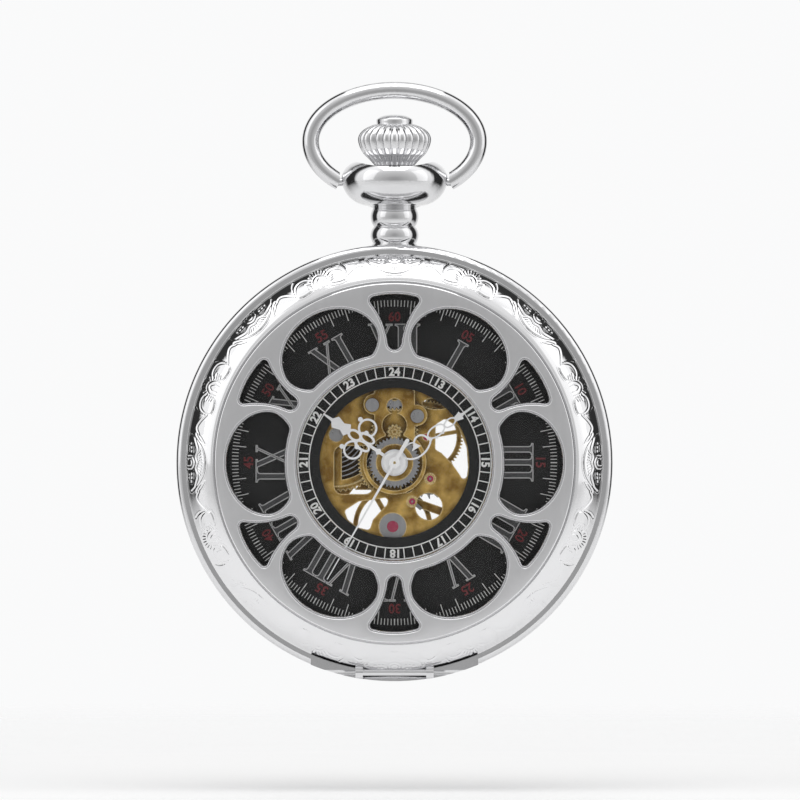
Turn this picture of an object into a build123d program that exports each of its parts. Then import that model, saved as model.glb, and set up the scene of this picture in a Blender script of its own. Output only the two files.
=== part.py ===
from build123d import *
import math
import os

os.makedirs("parts", exist_ok=True)

# A pocket watch with a pierced hunter cover and a skeleton hand-wound movement.
# The dial faces -Y and 12 o'clock points to +Z. The origin is the middle of the flat
# case back, and "height" is the distance in front of that back, towards the dial side.

# ---- case: overall sizes (mm) ----
CASE_R = 23.5
BACK_FLAT_R = 17.6
BACK_RING_H = 2.6
BAND_TOP = 9.9
BAND_INNER_R = 20.5
BAND_SEAT_R = 21.9
BAND_SEAT_H = 9.0
BEAD_R = 0.55
GLASS_BACK_R = 16.6
GLASS_BACK_T = 1.1
GASKET_R = 21.2
GASKET_W = 0.6

# ---- hunter cover ----
COVER_R = 22.45
COVER_SEAM = 10.05
COVER_FRONT = 13.9
PLATE_T = 1.0
PLATE_R = 19.3
BAND_INNER_EDGE_R = 19.55
COVER_WALL = 0.75
SKIRT = 0.65
CENTRE_WINDOW_R = 10.43
PETAL_COUNT = 6
PETAL_CENTRE_R = 13.6
PETAL_HALF_W = 5.4
PETAL_OUT = 4.4
PETAL_IN = 3.2
PETAL_INNER_R = 11.85
PETAL_CORNER = 0.7
FAN_OUTER_R = 18.05
FAN_CORNER_R = 17.6
FAN_HALF_W = 2.85
FAN_TIP_R = 12.9
FAN_TIP_HALF_W = 0.7
FAN_CORNER = 0.35

# ---- cover hinge at 6 o'clock ----
HINGE_Z = -22.55
HINGE_H = 10.9
PIN_R = 0.35
KNUCKLE_R = 0.72
KNUCKLE_END_X = 4.2
COVER_KNUCKLE_X = 3.25
HINGE_BLOCK_X = 9.0
HINGE_BLOCK_TOP = 11.1
HINGE_GAP = 0.13

# ---- pendant, bow and crown; their axis is the winding stem ----
STEM_H = 6.2
STEM_R = 0.6
BOW_WIRE_R = 0.93
BOW_PIVOT_Z = 30.3
BOW_END_X = 5.9
BOW_HALF_W = 9.07
BOW_MIDDLE_Z = 34.7
BOW_TOP_Z = 40.2
BOW_PIN_R = 0.45
PENDANT_BORE_R = 1.7
PENDANT_TUBE_R = 2.1
CROWN_FLUTES = 26
CROWN_BASE_Z = 32.35
CROWN_TOP_Z = 37.6

# ---- front bezel, glass and dial ----
GLASS_R = 19.5
GLASS_BASE = 11.2
GLASS_T = 0.9
BEZEL_INNER_R = 18.7
BEZEL_TOP_R = 20.3
DIAL_R = 18.9
DIAL_OPENING_R = 8.06
DIAL_BASE = 9.3
DIAL_T = 0.4
DIAL_FOOT_R = 0.4

# ---- movement: levels are heights in front of the case back ----
PLATE_OUTER_R = 14.2
PLATE_BASE = 7.2
PLATE_TOP = 8.3
PLATE_WALL = 0.7
BRIDGE_BASE = 3.3
BRIDGE_TOP = 3.9
BRIDGE_R = 13.3
BRIDGE_GAP = 0.2
HOLDER_OUTER_R = 20.45
FIT = 0.05
RUN = 0.03

# ---- wheel train: pitch radii follow the teeth and the centre distances ----
BARREL_X = -6.3
BARREL_Z = 3.0
BARREL_TEETH = 72
CENTRE_PINION_LEAVES = 10
CENTRE_TEETH = 60
THIRD_LEAVES = 8
THIRD_TEETH = 64
FOURTH_LEAVES = 8
FOURTH_TEETH = 70
ESCAPE_LEAVES = 7
ESCAPE_TEETH = 15
ESCAPE_R = 2.2
THIRD_DISTANCE = 4.4
THIRD_ANGLE = 38.4
ESCAPE_X = 3.84
ESCAPE_Z = -1.75
PALLET_X = 1.9
PALLET_Z = -4.2
BALANCE_X = -0.2
BALANCE_Z = -6.9
BALANCE_R = 4.3
ADDENDUM = 0.08
DEDENDUM = 0.14

# ---- motion works and winding works ----
MINUTE_WHEEL_Z = 3.31
CANNON_LEAVES = 12
MINUTE_TEETH = 36
MINUTE_LEAVES = 10
HOUR_TEETH = 40
SETTING_TEETH = 18
RATCHET_TEETH = 48
CROWN_WHEEL_TEETH = 34
RATCHET_R = 4.2
CROWN_WHEEL_ANGLE = 48.0
WINDING_TEETH = 14
WINDING_R = 1.6
CLUTCH_R = 1.5
CLUTCH_Z = 8.75
CLUTCH_LENGTH = 1.15
BEARING_BASE_Z = 7.7
BEARING_TOP_Z = 8.2
KEYLESS_ROOM_Z = 14.55
WINDING_Z = 10.2

# ---- hands; angles run clockwise from 12 o'clock ----
HOUR_ANGLE = 304.5
MINUTE_ANGLE = 54.5
SECONDS_ANGLE = 210.0
HOUR_HAND_BASE = 10.0
MINUTE_HAND_BASE = 10.4
SECONDS_HAND_BASE = 10.8
HAND_T = 0.14
HUB_R = 1.43
MINUTE_REACH = 12.0
SECONDS_REACH = 14.5
SECONDS_TAIL = 2.75
SECONDS_TAIL_W = 0.42

# sizes worked out from the ones above
BARREL_DISTANCE = math.hypot(BARREL_X, BARREL_Z)
BARREL_PITCH_R = BARREL_DISTANCE * BARREL_TEETH / (BARREL_TEETH + CENTRE_PINION_LEAVES)
CENTRE_PINION_R = BARREL_DISTANCE - BARREL_PITCH_R
THIRD_X = THIRD_DISTANCE * math.cos(math.radians(THIRD_ANGLE))
THIRD_Z = THIRD_DISTANCE * math.sin(math.radians(THIRD_ANGLE))
CENTRE_WHEEL_R = THIRD_DISTANCE * CENTRE_TEETH / (CENTRE_TEETH + THIRD_LEAVES)
THIRD_PINION_R = THIRD_DISTANCE - CENTRE_WHEEL_R
THIRD_WHEEL_R = THIRD_DISTANCE * THIRD_TEETH / (THIRD_TEETH + FOURTH_LEAVES)
FOURTH_PINION_R = THIRD_DISTANCE - THIRD_WHEEL_R
ESCAPE_DISTANCE = math.hypot(ESCAPE_X, ESCAPE_Z)
FOURTH_WHEEL_R = ESCAPE_DISTANCE * FOURTH_TEETH / (FOURTH_TEETH + ESCAPE_LEAVES)
ESCAPE_PINION_R = ESCAPE_DISTANCE - FOURTH_WHEEL_R
CANNON_R = MINUTE_WHEEL_Z * CANNON_LEAVES / (CANNON_LEAVES + MINUTE_TEETH)
MINUTE_WHEEL_R = MINUTE_WHEEL_Z - CANNON_R
MINUTE_PINION_R = MINUTE_WHEEL_Z * MINUTE_LEAVES / (MINUTE_LEAVES + HOUR_TEETH)
HOUR_WHEEL_R = MINUTE_WHEEL_Z - MINUTE_PINION_R
SETTING_R = MINUTE_WHEEL_R * SETTING_TEETH / MINUTE_TEETH
SETTING_Z = MINUTE_WHEEL_Z + MINUTE_WHEEL_R + SETTING_R
CROWN_WHEEL_R = RATCHET_R * CROWN_WHEEL_TEETH / RATCHET_TEETH
CROWN_WHEEL_X = BARREL_X + (RATCHET_R + CROWN_WHEEL_R) * math.cos(math.radians(CROWN_WHEEL_ANGLE))
CROWN_WHEEL_Z = BARREL_Z + (RATCHET_R + CROWN_WHEEL_R) * math.sin(math.radians(CROWN_WHEEL_ANGLE))

# levels of the wheels, as (lower, upper) heights
RATCHET_LEVEL = (2.9, 3.2)
FOURTH_LEVEL = (4.05, 4.2)
THIRD_LEVEL = (4.45, 4.6)
BALANCE_LEVEL = (4.45, 4.8)
BARREL_LEVEL = (4.8, 6.5)
BARREL_TEETH_LEVEL = (6.1, 6.5)
ESCAPE_LEVEL = (5.35, 5.5)
CENTRE_LEVEL = (6.8, 7.0)
MINUTE_WHEEL_LEVEL = (8.35, 8.55)
HOUR_WHEEL_LEVEL = (8.65, 8.85)
COVER_PLATE_LEVEL = (8.95, 9.15)
HAIRSPRING_LEVEL = (4.0, 4.2)

ARBOR_R = 0.16
PIVOT_R = 0.09
JEWEL_R = 0.36
CHATON_R = 0.56
PLATE_SCREWS = [(-2.4, 6.2), (2.46, 5.0)]
BARREL_BRIDGE_SCREWS = [(-9.8, -7.2), (-8.5, 10.0), (2.6, 12.3)]
TRAIN_BRIDGE_SCREWS = [(10.5, 6.5), (12.0, -1.5)]
COCK_SCREWS = [(BALANCE_X, -12.4)]
PALLET_SCREWS = [(7.0, -6.0)]
BRIDGE_SCREWS = BARREL_BRIDGE_SCREWS + TRAIN_BRIDGE_SCREWS + COCK_SCREWS
POST_R = 0.9
SCREW_R = 0.35
SCREW_HEAD_R = 0.72
SCREW_HEAD_T = 0.35


def face_plane(height, x=0.0, z=0.0):
    """A plane parallel to the dial, its normal towards the viewer and its y axis towards 12 o'clock."""
    return Plane(origin=(x, -height, z), x_dir=(1, 0, 0), z_dir=(0, -1, 0))


def lathe_plane(x=0.0, z=0.0):
    """Profiles of turned pieces: x is the radius from the arbor and y is the height."""
    return Plane(origin=(x, 0, z), x_dir=(1, 0, 0), z_dir=(0, 0, -1))


def arbor_axis(x=0.0, z=0.0):
    return Axis((x, 0, z), (0, 1, 0))


STEM_PLANE = Plane(origin=(0, -STEM_H, 0), x_dir=(1, 0, 0), z_dir=(0, -1, 0))
STEM_AXIS = Axis((0, -STEM_H, 0), (0, 0, 1))


def stem_level(z):
    """A plane across the winding stem at height z, its normal along the stem."""
    return Plane(origin=(0, -STEM_H, z), x_dir=(1, 0, 0), z_dir=(0, 0, 1))


def across(x_start, height, z):
    """A plane across the X direction, for hinge pins, knuckles and bow pins."""
    return Plane(origin=(x_start, -height, z), x_dir=(0, 0, 1), z_dir=(1, 0, 0))


def disc(x, z, levels, outer_r, inner_r=0.0):
    """Add a disc or a ring to the part being built."""
    with BuildSketch(face_plane(levels[0], x, z)) as ring:
        Circle(outer_r)
        if inner_r:
            Circle(inner_r, mode=Mode.SUBTRACT)
    extrude(ring.sketch, amount=levels[1] - levels[0])


def bore(x, z, levels, radius):
    """Cut a round hole through the part being built."""
    with BuildSketch(face_plane(levels[0], x, z)) as hole:
        Circle(radius)
    extrude(hole.sketch, amount=levels[1] - levels[0], mode=Mode.SUBTRACT)


def toothed_outline(pitch_r, teeth, phase, addendum=ADDENDUM, dedendum=DEDENDUM):
    """Corner points of a toothed wheel with one tooth centred at the phase angle."""
    step = 360 / teeth
    root_half = 0.36 * step
    tip_half = 0.13 * step
    points = []
    for tooth in range(teeth):
        middle = phase + tooth * step
        for radius, turn in (
            (pitch_r - dedendum, -root_half),
            (pitch_r + addendum, -tip_half),
            (pitch_r + addendum, tip_half),
            (pitch_r - dedendum, root_half),
        ):
            angle = math.radians(middle + turn)
            points.append((radius * math.cos(angle), radius * math.sin(angle)))
    return points


def gear(x, z, levels, pitch_r, teeth, phase, bore_r=0.0):
    """Add a toothed disc to the part being built."""
    with BuildSketch(face_plane(levels[0], x, z)) as outline:
        with BuildLine():
            Polyline(*toothed_outline(pitch_r, teeth, phase), close=True)
        make_face()
        if bore_r:
            Circle(bore_r, mode=Mode.SUBTRACT)
    extrude(outline.sketch, amount=levels[1] - levels[0])


def cross_out(x, z, levels, hub_r, rim_r, arms, arm_w, turn=0.0):
    """Cut the windows between the arms of a wheel."""
    with BuildSketch(face_plane(levels[0], x, z)) as windows:
        Circle(rim_r)
        Circle(hub_r, mode=Mode.SUBTRACT)
        with PolarLocations(0, arms, start_angle=turn):
            Rectangle(rim_r + 1, arm_w, align=(Align.MIN, Align.CENTER), mode=Mode.SUBTRACT)
    extrude(windows.sketch, amount=levels[1] - levels[0], mode=Mode.SUBTRACT)


def spiral_arcs(inner_r, outer_r, turns):
    """Half circles that make a spiral, as (centre x, radius, start angle)."""
    halves = 2 * turns
    step = (outer_r - inner_r) / halves
    arcs = []
    centre = 0.0
    for half in range(halves):
        radius = inner_r + half * step
        arcs.append((centre, radius, 180.0 * (half % 2)))
        centre += -step if half % 2 == 0 else step
    return arcs


def save(builder, name):
    builder.part.label = name
    export_step(builder.part, f"parts/{name}.step")


# =================================================================== case
def petal(angle):
    """One bean-shaped window: two half ellipses, flattened by a circle round the dial's middle."""
    place = Location((0, 0, 0), (0, 0, angle - 90))
    with BuildSketch(Plane.XY) as bean:
        with BuildLine():
            EllipticalCenterArc((0, PETAL_CENTRE_R), PETAL_HALF_W, PETAL_OUT, start_angle=0, arc_size=180)
            EllipticalCenterArc((0, PETAL_CENTRE_R), PETAL_HALF_W, PETAL_IN, start_angle=180, arc_size=180)
        make_face()
        Circle(PETAL_INNER_R, mode=Mode.SUBTRACT)
        fillet(bean.vertices().group_by(Axis.Y)[0], PETAL_CORNER)
    return bean.sketch.moved(place)


def fan(angle):
    """One fan-shaped window with a slightly bowed outer edge, hollow sides and a round tip."""
    place = Location((0, 0, 0), (0, 0, angle - 90))
    side_mid = (FAN_HALF_W * 0.47, (FAN_CORNER_R + FAN_TIP_R) / 2)
    with BuildSketch(Plane.XY) as window:
        with BuildLine():
            ThreePointArc((-FAN_HALF_W, FAN_CORNER_R), (0, FAN_OUTER_R), (FAN_HALF_W, FAN_CORNER_R))
            ThreePointArc((FAN_HALF_W, FAN_CORNER_R), side_mid, (FAN_TIP_HALF_W, FAN_TIP_R))
            ThreePointArc(
                (FAN_TIP_HALF_W, FAN_TIP_R),
                (0, FAN_TIP_R - FAN_TIP_HALF_W),
                (-FAN_TIP_HALF_W, FAN_TIP_R),
            )
            ThreePointArc(
                (-FAN_TIP_HALF_W, FAN_TIP_R), (-side_mid[0], side_mid[1]), (-FAN_HALF_W, FAN_CORNER_R)
            )
        make_face()
        fillet(window.vertices().group_by(Axis.Y)[-1], FAN_CORNER)
    return window.sketch.moved(place)


# The pierced cover: a polished domed band round a flat plate with windows.
with BuildPart() as front_cover:
    with BuildSketch(lathe_plane()) as shell:
        with BuildLine():
            Polyline(
                (COVER_R - COVER_WALL, COVER_SEAM),
                (COVER_R, COVER_SEAM),
                (COVER_R, COVER_SEAM + SKIRT),
            )
            ThreePointArc(
                (COVER_R, COVER_SEAM + SKIRT),
                (COVER_R - 1, COVER_FRONT - 1.55),
                (BAND_INNER_EDGE_R, COVER_FRONT - 0.3),
            )
            Polyline(
                (BAND_INNER_EDGE_R, COVER_FRONT - 0.3),
                (PLATE_R + 0.1, COVER_FRONT - 0.45),
                (PLATE_R, COVER_FRONT),
                (CENTRE_WINDOW_R, COVER_FRONT),
                (CENTRE_WINDOW_R, COVER_FRONT - PLATE_T),
                (PLATE_R - 0.3, COVER_FRONT - PLATE_T),
            )
            ThreePointArc(
                (PLATE_R - 0.3, COVER_FRONT - PLATE_T),
                (COVER_R - 1.6, COVER_FRONT - 1.95),
                (COVER_R - COVER_WALL, COVER_SEAM + SKIRT),
            )
            Line((COVER_R - COVER_WALL, COVER_SEAM + SKIRT), (COVER_R - COVER_WALL, COVER_SEAM))
        make_face()
    revolve(axis=arbor_axis())
    with BuildSketch(face_plane(COVER_FRONT - 2 * PLATE_T)) as windows:
        for index in range(PETAL_COUNT):
            add(petal(60 * index + 60))
            add(fan(60 * index + 30))
    extrude(amount=3 * PLATE_T, mode=Mode.SUBTRACT)
    with BuildSketch(across(-HINGE_BLOCK_X - 0.1, HINGE_H, HINGE_Z)):
        Circle(KNUCKLE_R + HINGE_GAP)
    extrude(amount=2 * HINGE_BLOCK_X + 0.2, mode=Mode.SUBTRACT)
    with BuildSketch(across(-COVER_KNUCKLE_X, HINGE_H, HINGE_Z)):
        Circle(KNUCKLE_R)
        with Locations((0.72, 0.28)):
            Rectangle(1.44, 0.5)
        Circle(PIN_R + RUN, mode=Mode.SUBTRACT)
    extrude(amount=2 * COVER_KNUCKLE_X)
save(front_cover, "front_cover")


# The case middle: a band with a rounded bead round the cover's edge.
with BuildPart() as case_middle:
    with BuildSketch(lathe_plane()) as band:
        with BuildLine():
            Polyline(
                (CASE_R - BEAD_R - 0.35, BAND_TOP),
                (BAND_SEAT_R, BAND_TOP),
                (BAND_SEAT_R, BAND_SEAT_H),
                (BAND_INNER_R, BAND_SEAT_H),
                (BAND_INNER_R, BACK_RING_H),
                (CASE_R - 1, BACK_RING_H),
            )
            ThreePointArc((CASE_R - 1, BACK_RING_H), (CASE_R - 0.35, 5.6), (CASE_R - 0.2, BAND_TOP - 1.2))
            ThreePointArc(
                (CASE_R - 0.2, BAND_TOP - 1.2), (CASE_R, BAND_TOP - 0.6), (CASE_R - BEAD_R, BAND_TOP)
            )
            Line((CASE_R - BEAD_R, BAND_TOP), (CASE_R - BEAD_R - 0.35, BAND_TOP))
        make_face()
    revolve(axis=arbor_axis())
    with BuildSketch(stem_level(BAND_INNER_R - 1)):
        Circle(PENDANT_TUBE_R)
    extrude(amount=5, mode=Mode.SUBTRACT)
    with BuildSketch(across(-COVER_KNUCKLE_X - 0.15, HINGE_H, HINGE_Z)):
        Circle(KNUCKLE_R + HINGE_GAP)
    extrude(amount=2 * COVER_KNUCKLE_X + 0.3, mode=Mode.SUBTRACT)
    with BuildSketch(across(-KNUCKLE_END_X, HINGE_H, HINGE_Z)):
        Circle(KNUCKLE_R)
    extrude(amount=2 * KNUCKLE_END_X, mode=Mode.SUBTRACT)
save(case_middle, "case_middle")

# The hinge block brazed on the band at 6 o'clock, with the two outer knuckles.
with BuildPart() as hinge_block:
    with BuildSketch(face_plane(BAND_TOP)) as sector:
        Circle(CASE_R)
        Circle(COVER_R + FIT, mode=Mode.SUBTRACT)
        with Locations((0, -CASE_R)):
            Rectangle(2 * HINGE_BLOCK_X, 2 * (CASE_R - 20.0), mode=Mode.INTERSECT)
    extrude(amount=HINGE_BLOCK_TOP - BAND_TOP)
    with BuildSketch(face_plane(BAND_TOP + 0.55)) as middle:
        with Locations((0, -CASE_R)):
            Rectangle(2 * COVER_KNUCKLE_X + 0.3, 4)
    extrude(amount=2, mode=Mode.SUBTRACT)
    with BuildSketch(across(-KNUCKLE_END_X, HINGE_H, HINGE_Z)):
        Circle(KNUCKLE_R)
    extrude(amount=2 * KNUCKLE_END_X)
    with BuildSketch(face_plane(BAND_TOP - 1)):
        Circle(CASE_R)
    extrude(amount=HINGE_BLOCK_TOP + 2, mode=Mode.INTERSECT)
    with BuildSketch(across(-COVER_KNUCKLE_X - 0.15, HINGE_H, HINGE_Z)):
        Circle(KNUCKLE_R + HINGE_GAP)
    extrude(amount=2 * COVER_KNUCKLE_X + 0.3, mode=Mode.SUBTRACT)
    with BuildSketch(across(-CASE_R, HINGE_H, HINGE_Z)):
        Circle(PIN_R)
    extrude(amount=2 * CASE_R, mode=Mode.SUBTRACT)
save(hinge_block, "hinge_block")

with BuildPart() as hinge_pin:
    with BuildSketch(across(-KNUCKLE_END_X, HINGE_H, HINGE_Z)):
        Circle(PIN_R)
    extrude(amount=2 * KNUCKLE_END_X)
save(hinge_pin, "hinge_pin")

# The lift spring: a curved flat blade inside the case foot that throws the cover open.
with BuildPart() as lift_spring:
    with BuildSketch(face_plane(3.2)) as blade_band:
        with BuildLine():
            CenterArc((0, 0), BAND_INNER_R - 0.2, 240, 60)
        trace(line_width=0.24)
    extrude(blade_band.sketch, amount=1.6)
save(lift_spring, "lift_spring")

# The catch at 12 o'clock: a leaf spring inside the band whose nose holds the cover's lip.
CATCH_R = BAND_INNER_R - 0.25
CATCH_FOOT_ANGLE = 128
CATCH_ROOM = 0.85
with BuildPart() as cover_catch:
    with BuildSketch(face_plane(3.6)) as leaf:
        with BuildLine():
            CenterArc((0, 0), CATCH_R, 98, CATCH_FOOT_ANGLE - 98)
        trace(line_width=0.3)
    extrude(leaf.sketch, amount=1.6)
save(cover_catch, "cover_catch")

# The snap-on back ring, its gasket and the flat glass over the movement.
with BuildPart() as back_ring:
    with BuildSketch(lathe_plane()) as ring_profile:
        with BuildLine():
            Polyline(
                (22.5, BACK_RING_H),
                (BAND_INNER_R - FIT, BACK_RING_H),
                (BAND_INNER_R - FIT, BACK_RING_H + 0.5),
                (19.6, BACK_RING_H + 0.5),
                (19.6, 1.5),
                (15.6, 1.5),
                (15.6, GLASS_BACK_T),
                (GLASS_BACK_R + RUN, GLASS_BACK_T),
                (GLASS_BACK_R + RUN, 0),
                (BACK_FLAT_R, 0),
            )
            ThreePointArc((BACK_FLAT_R, 0), (20.9, 0.75), (22.5, BACK_RING_H))
        make_face()
    revolve(axis=arbor_axis())
    with BuildSketch(face_plane(BACK_RING_H - 0.4)):
        Circle(GASKET_R + GASKET_W / 2)
        Circle(GASKET_R - GASKET_W / 2, mode=Mode.SUBTRACT)
    extrude(amount=0.6, mode=Mode.SUBTRACT)
save(back_ring, "back_ring")

with BuildPart() as back_gasket:
    disc(0, 0, (BACK_RING_H - 0.4, BACK_RING_H), GASKET_R + GASKET_W / 2, GASKET_R - GASKET_W / 2)
save(back_gasket, "back_gasket")

with BuildPart() as back_glass:
    disc(0, 0, (0, GLASS_BACK_T), GLASS_BACK_R)
save(back_glass, "back_glass")

# The front bezel pressed into the band, and its glass.
with BuildPart() as front_bezel:
    with BuildSketch(lathe_plane()) as bezel_profile:
        with BuildLine():
            Polyline(
                (DIAL_R + RUN, BAND_SEAT_H),
                (BAND_SEAT_R - RUN, BAND_SEAT_H),
                (BAND_SEAT_R - RUN, BAND_TOP),
                (21.2, BAND_TOP + 0.1),
                (BEZEL_TOP_R, GLASS_BASE),
                (BEZEL_TOP_R - 0.25, GLASS_BASE + 0.9),
                (GLASS_R + RUN, GLASS_BASE + 0.9),
                (GLASS_R + RUN, GLASS_BASE),
                (BEZEL_INNER_R, GLASS_BASE),
                (BEZEL_INNER_R, DIAL_BASE + DIAL_T + RUN),
                (DIAL_R + RUN, DIAL_BASE + DIAL_T + RUN),
                close=True,
            )
        make_face()
    revolve(axis=arbor_axis())
save(front_bezel, "front_bezel")

with BuildPart() as front_glass:
    disc(0, 0, (GLASS_BASE, GLASS_BASE + GLASS_T), GLASS_R)
save(front_glass, "front_glass")

# =================================================== pendant, bow, crown
with BuildPart() as pendant:
    with BuildSketch(STEM_PLANE) as cup:
        with BuildLine():
            Polyline((0, 32.5), (4.2, 32.5))
            ThreePointArc((4.2, 32.5), (5.35, 31.75), (5.75, 30.3))
            ThreePointArc((5.75, 30.3), (5.0, 28.75), (2.9, 27.7))
            Line((2.9, 27.7), (2.35, 27.45))
            ThreePointArc((2.35, 27.45), (2.6, 26.6), (2.25, 25.5))
            ThreePointArc((2.25, 25.5), (2.6, 24.4), (2.35, 23.7))
            Polyline((2.35, 23.7), (2.75, 23.1), (2.75, 21.5), (0, 21.5), (0, 32.5))
        make_face()
    revolve(axis=STEM_AXIS)
    with BuildSketch(face_plane(-CASE_R)) as band_room:
        Circle(CASE_R)
    extrude(band_room.sketch, amount=3 * CASE_R, mode=Mode.SUBTRACT)
    with BuildSketch(stem_level(BAND_INNER_R)) as spigot:
        Circle(PENDANT_TUBE_R)
    extrude(spigot.sketch, amount=4.5)
    saddle_r = 12.95
    with BuildSketch(face_plane(-CASE_R)) as saddle:
        with Locations((0, 31.75 + saddle_r)):
            Circle(saddle_r)
    extrude(saddle.sketch, amount=3 * CASE_R, mode=Mode.SUBTRACT)
    with BuildSketch(stem_level(BAND_INNER_R - 1)) as stem_bore:
        Circle(PENDANT_BORE_R)
    extrude(stem_bore.sketch, amount=14, mode=Mode.SUBTRACT)
    with BuildSketch(across(-BOW_END_X - 1, STEM_H, BOW_PIVOT_Z)) as pin_holes:
        Circle(BOW_PIN_R + RUN)
    extrude(pin_holes.sketch, amount=2 * BOW_END_X + 2, mode=Mode.SUBTRACT)
save(pendant, "pendant")

# The bow: round wire bent to an oval, upper and lower halves of two ellipses.
BOW_DROP = BOW_MIDDLE_Z - BOW_PIVOT_Z
BOW_LOWER = BOW_DROP / math.sqrt(1 - (BOW_END_X / BOW_HALF_W) ** 2)
BOW_START_ANGLE = -math.degrees(math.asin(BOW_DROP / BOW_LOWER))
with BuildPart() as bow:
    with BuildLine(STEM_PLANE) as bow_path:
        lower_right = EllipticalCenterArc(
            (0, BOW_MIDDLE_Z), BOW_HALF_W, BOW_LOWER, start_angle=BOW_START_ANGLE, arc_size=-BOW_START_ANGLE
        )
        EllipticalCenterArc(
            (0, BOW_MIDDLE_Z), BOW_HALF_W, BOW_TOP_Z - BOW_MIDDLE_Z, start_angle=0, arc_size=180
        )
        EllipticalCenterArc(
            (0, BOW_MIDDLE_Z), BOW_HALF_W, BOW_LOWER, start_angle=180, arc_size=-BOW_START_ANGLE
        )
    with BuildSketch(Plane(origin=bow_path.line @ 0, z_dir=bow_path.line % 0)) as wire:
        Circle(BOW_WIRE_R)
    sweep(wire.sketch, path=bow_path.line)
    with BuildSketch(across(BOW_END_X - 2, STEM_H, BOW_PIVOT_Z)) as end_faces:
        Circle(2.2)
    extrude(end_faces.sketch, amount=2, mode=Mode.SUBTRACT)
    extrude(end_faces.sketch.moved(Location((-2 * BOW_END_X + 2, 0, 0))), amount=2, mode=Mode.SUBTRACT)
    with BuildSketch(across(-BOW_END_X - 0.9, STEM_H, BOW_PIVOT_Z)) as pin_seats:
        Circle(BOW_PIN_R)
    extrude(pin_seats.sketch, amount=2 * BOW_END_X + 1.8, mode=Mode.SUBTRACT)
save(bow, "bow")

with BuildPart() as bow_pins:
    for side in (-1, 1):
        with BuildSketch(across(side * (BOW_END_X + 0.9), STEM_H, BOW_PIVOT_Z)) as pin:
            Circle(BOW_PIN_R)
        extrude(pin.sketch, amount=-side * 3.4)
save(bow_pins, "bow_pins")

# The fluted crown with its cap, and the stem it is screwed on.
with BuildPart() as crown:
    with BuildSketch(STEM_PLANE) as onion:
        with BuildLine():
            Polyline((0, CROWN_BASE_Z), (2.35, CROWN_BASE_Z))
            ThreePointArc((2.35, CROWN_BASE_Z), (3.5, 33.4), (3.98, 34.75))
            ThreePointArc((3.98, 34.75), (3.35, 36.0), (2.15, 36.55))
            Polyline((2.15, 36.55), (2.0, 36.6), (1.95, 37.05))
            ThreePointArc((1.95, 37.05), (1.2, 37.45), (0.4, CROWN_TOP_Z))
            Polyline((0.4, CROWN_TOP_Z), (0, CROWN_TOP_Z), (0, CROWN_BASE_Z))
        make_face()
    revolve(axis=STEM_AXIS)
    with BuildSketch(stem_level(CROWN_BASE_Z - 0.5)) as ribs:
        with BuildLine():
            Polyline(*toothed_outline(3.88, CROWN_FLUTES, 0, addendum=0.3, dedendum=0.12), close=True)
        make_face()
    extrude(ribs.sketch, amount=6, mode=Mode.INTERSECT)
    with BuildSketch(stem_level(CROWN_BASE_Z - 1)) as stem_socket:
        Circle(STEM_R)
    extrude(stem_socket.sketch, amount=3, mode=Mode.SUBTRACT)
save(crown, "crown")

with BuildPart() as winding_stem:
    with BuildSketch(stem_level(7.9)) as rod:
        Circle(0.4)
    extrude(rod.sketch, amount=0.8)
    with BuildSketch(stem_level(8.7)) as square:
        Rectangle(0.8, 0.8)
    extrude(square.sketch, amount=2.75)
    with BuildSketch(stem_level(11.45)) as shaft:
        Circle(STEM_R)
    extrude(shaft.sketch, amount=CROWN_BASE_Z + 2 - 11.45)
    with BuildSketch(stem_level(26.0)) as collar:
        Circle(PENDANT_BORE_R - 0.08)
    extrude(collar.sketch, amount=3.0)
save(winding_stem, "winding_stem")

with BuildPart() as winding_pinion:
    with BuildSketch(stem_level(WINDING_Z)) as pinion_outline:
        with BuildLine():
            Polyline(*toothed_outline(WINDING_R - ADDENDUM, WINDING_TEETH, 0), close=True)
        make_face()
        Circle(STEM_R + FIT, mode=Mode.SUBTRACT)
    extrude(pinion_outline.sketch, amount=1.1)
save(winding_pinion, "winding_pinion")

with BuildPart() as clutch_wheel:
    with BuildSketch(stem_level(CLUTCH_Z)) as clutch_outline:
        with BuildLine():
            Polyline(*toothed_outline(CLUTCH_R - ADDENDUM, WINDING_TEETH, 0), close=True)
        make_face()
        Rectangle(0.86, 0.86, mode=Mode.SUBTRACT)
    extrude(clutch_outline.sketch, amount=CLUTCH_LENGTH)
    with BuildSketch(stem_level(CLUTCH_Z + 0.35)) as groove:
        Circle(CLUTCH_R + 0.2)
        Circle(1.0, mode=Mode.SUBTRACT)
    extrude(groove.sketch, amount=0.4, mode=Mode.SUBTRACT)
save(clutch_wheel, "clutch_wheel")

# =================================================================== dial and hands
with BuildPart() as dial:
    disc(0, 0, (DIAL_BASE, DIAL_BASE + DIAL_T), DIAL_R, DIAL_OPENING_R)
    for side in (-1, 1):
        disc(side * 9.2, -9.2, (7.6, DIAL_BASE), DIAL_FOOT_R)
save(dial, "dial")


def hand_plane(height, angle):
    """A plane at a hand's height whose y axis runs along the hand."""
    turn = math.radians(angle)
    return Plane(
        origin=(0, -height, 0),
        x_dir=(math.cos(turn), 0, -math.sin(turn)),
        z_dir=(0, -1, 0),
    )


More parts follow.
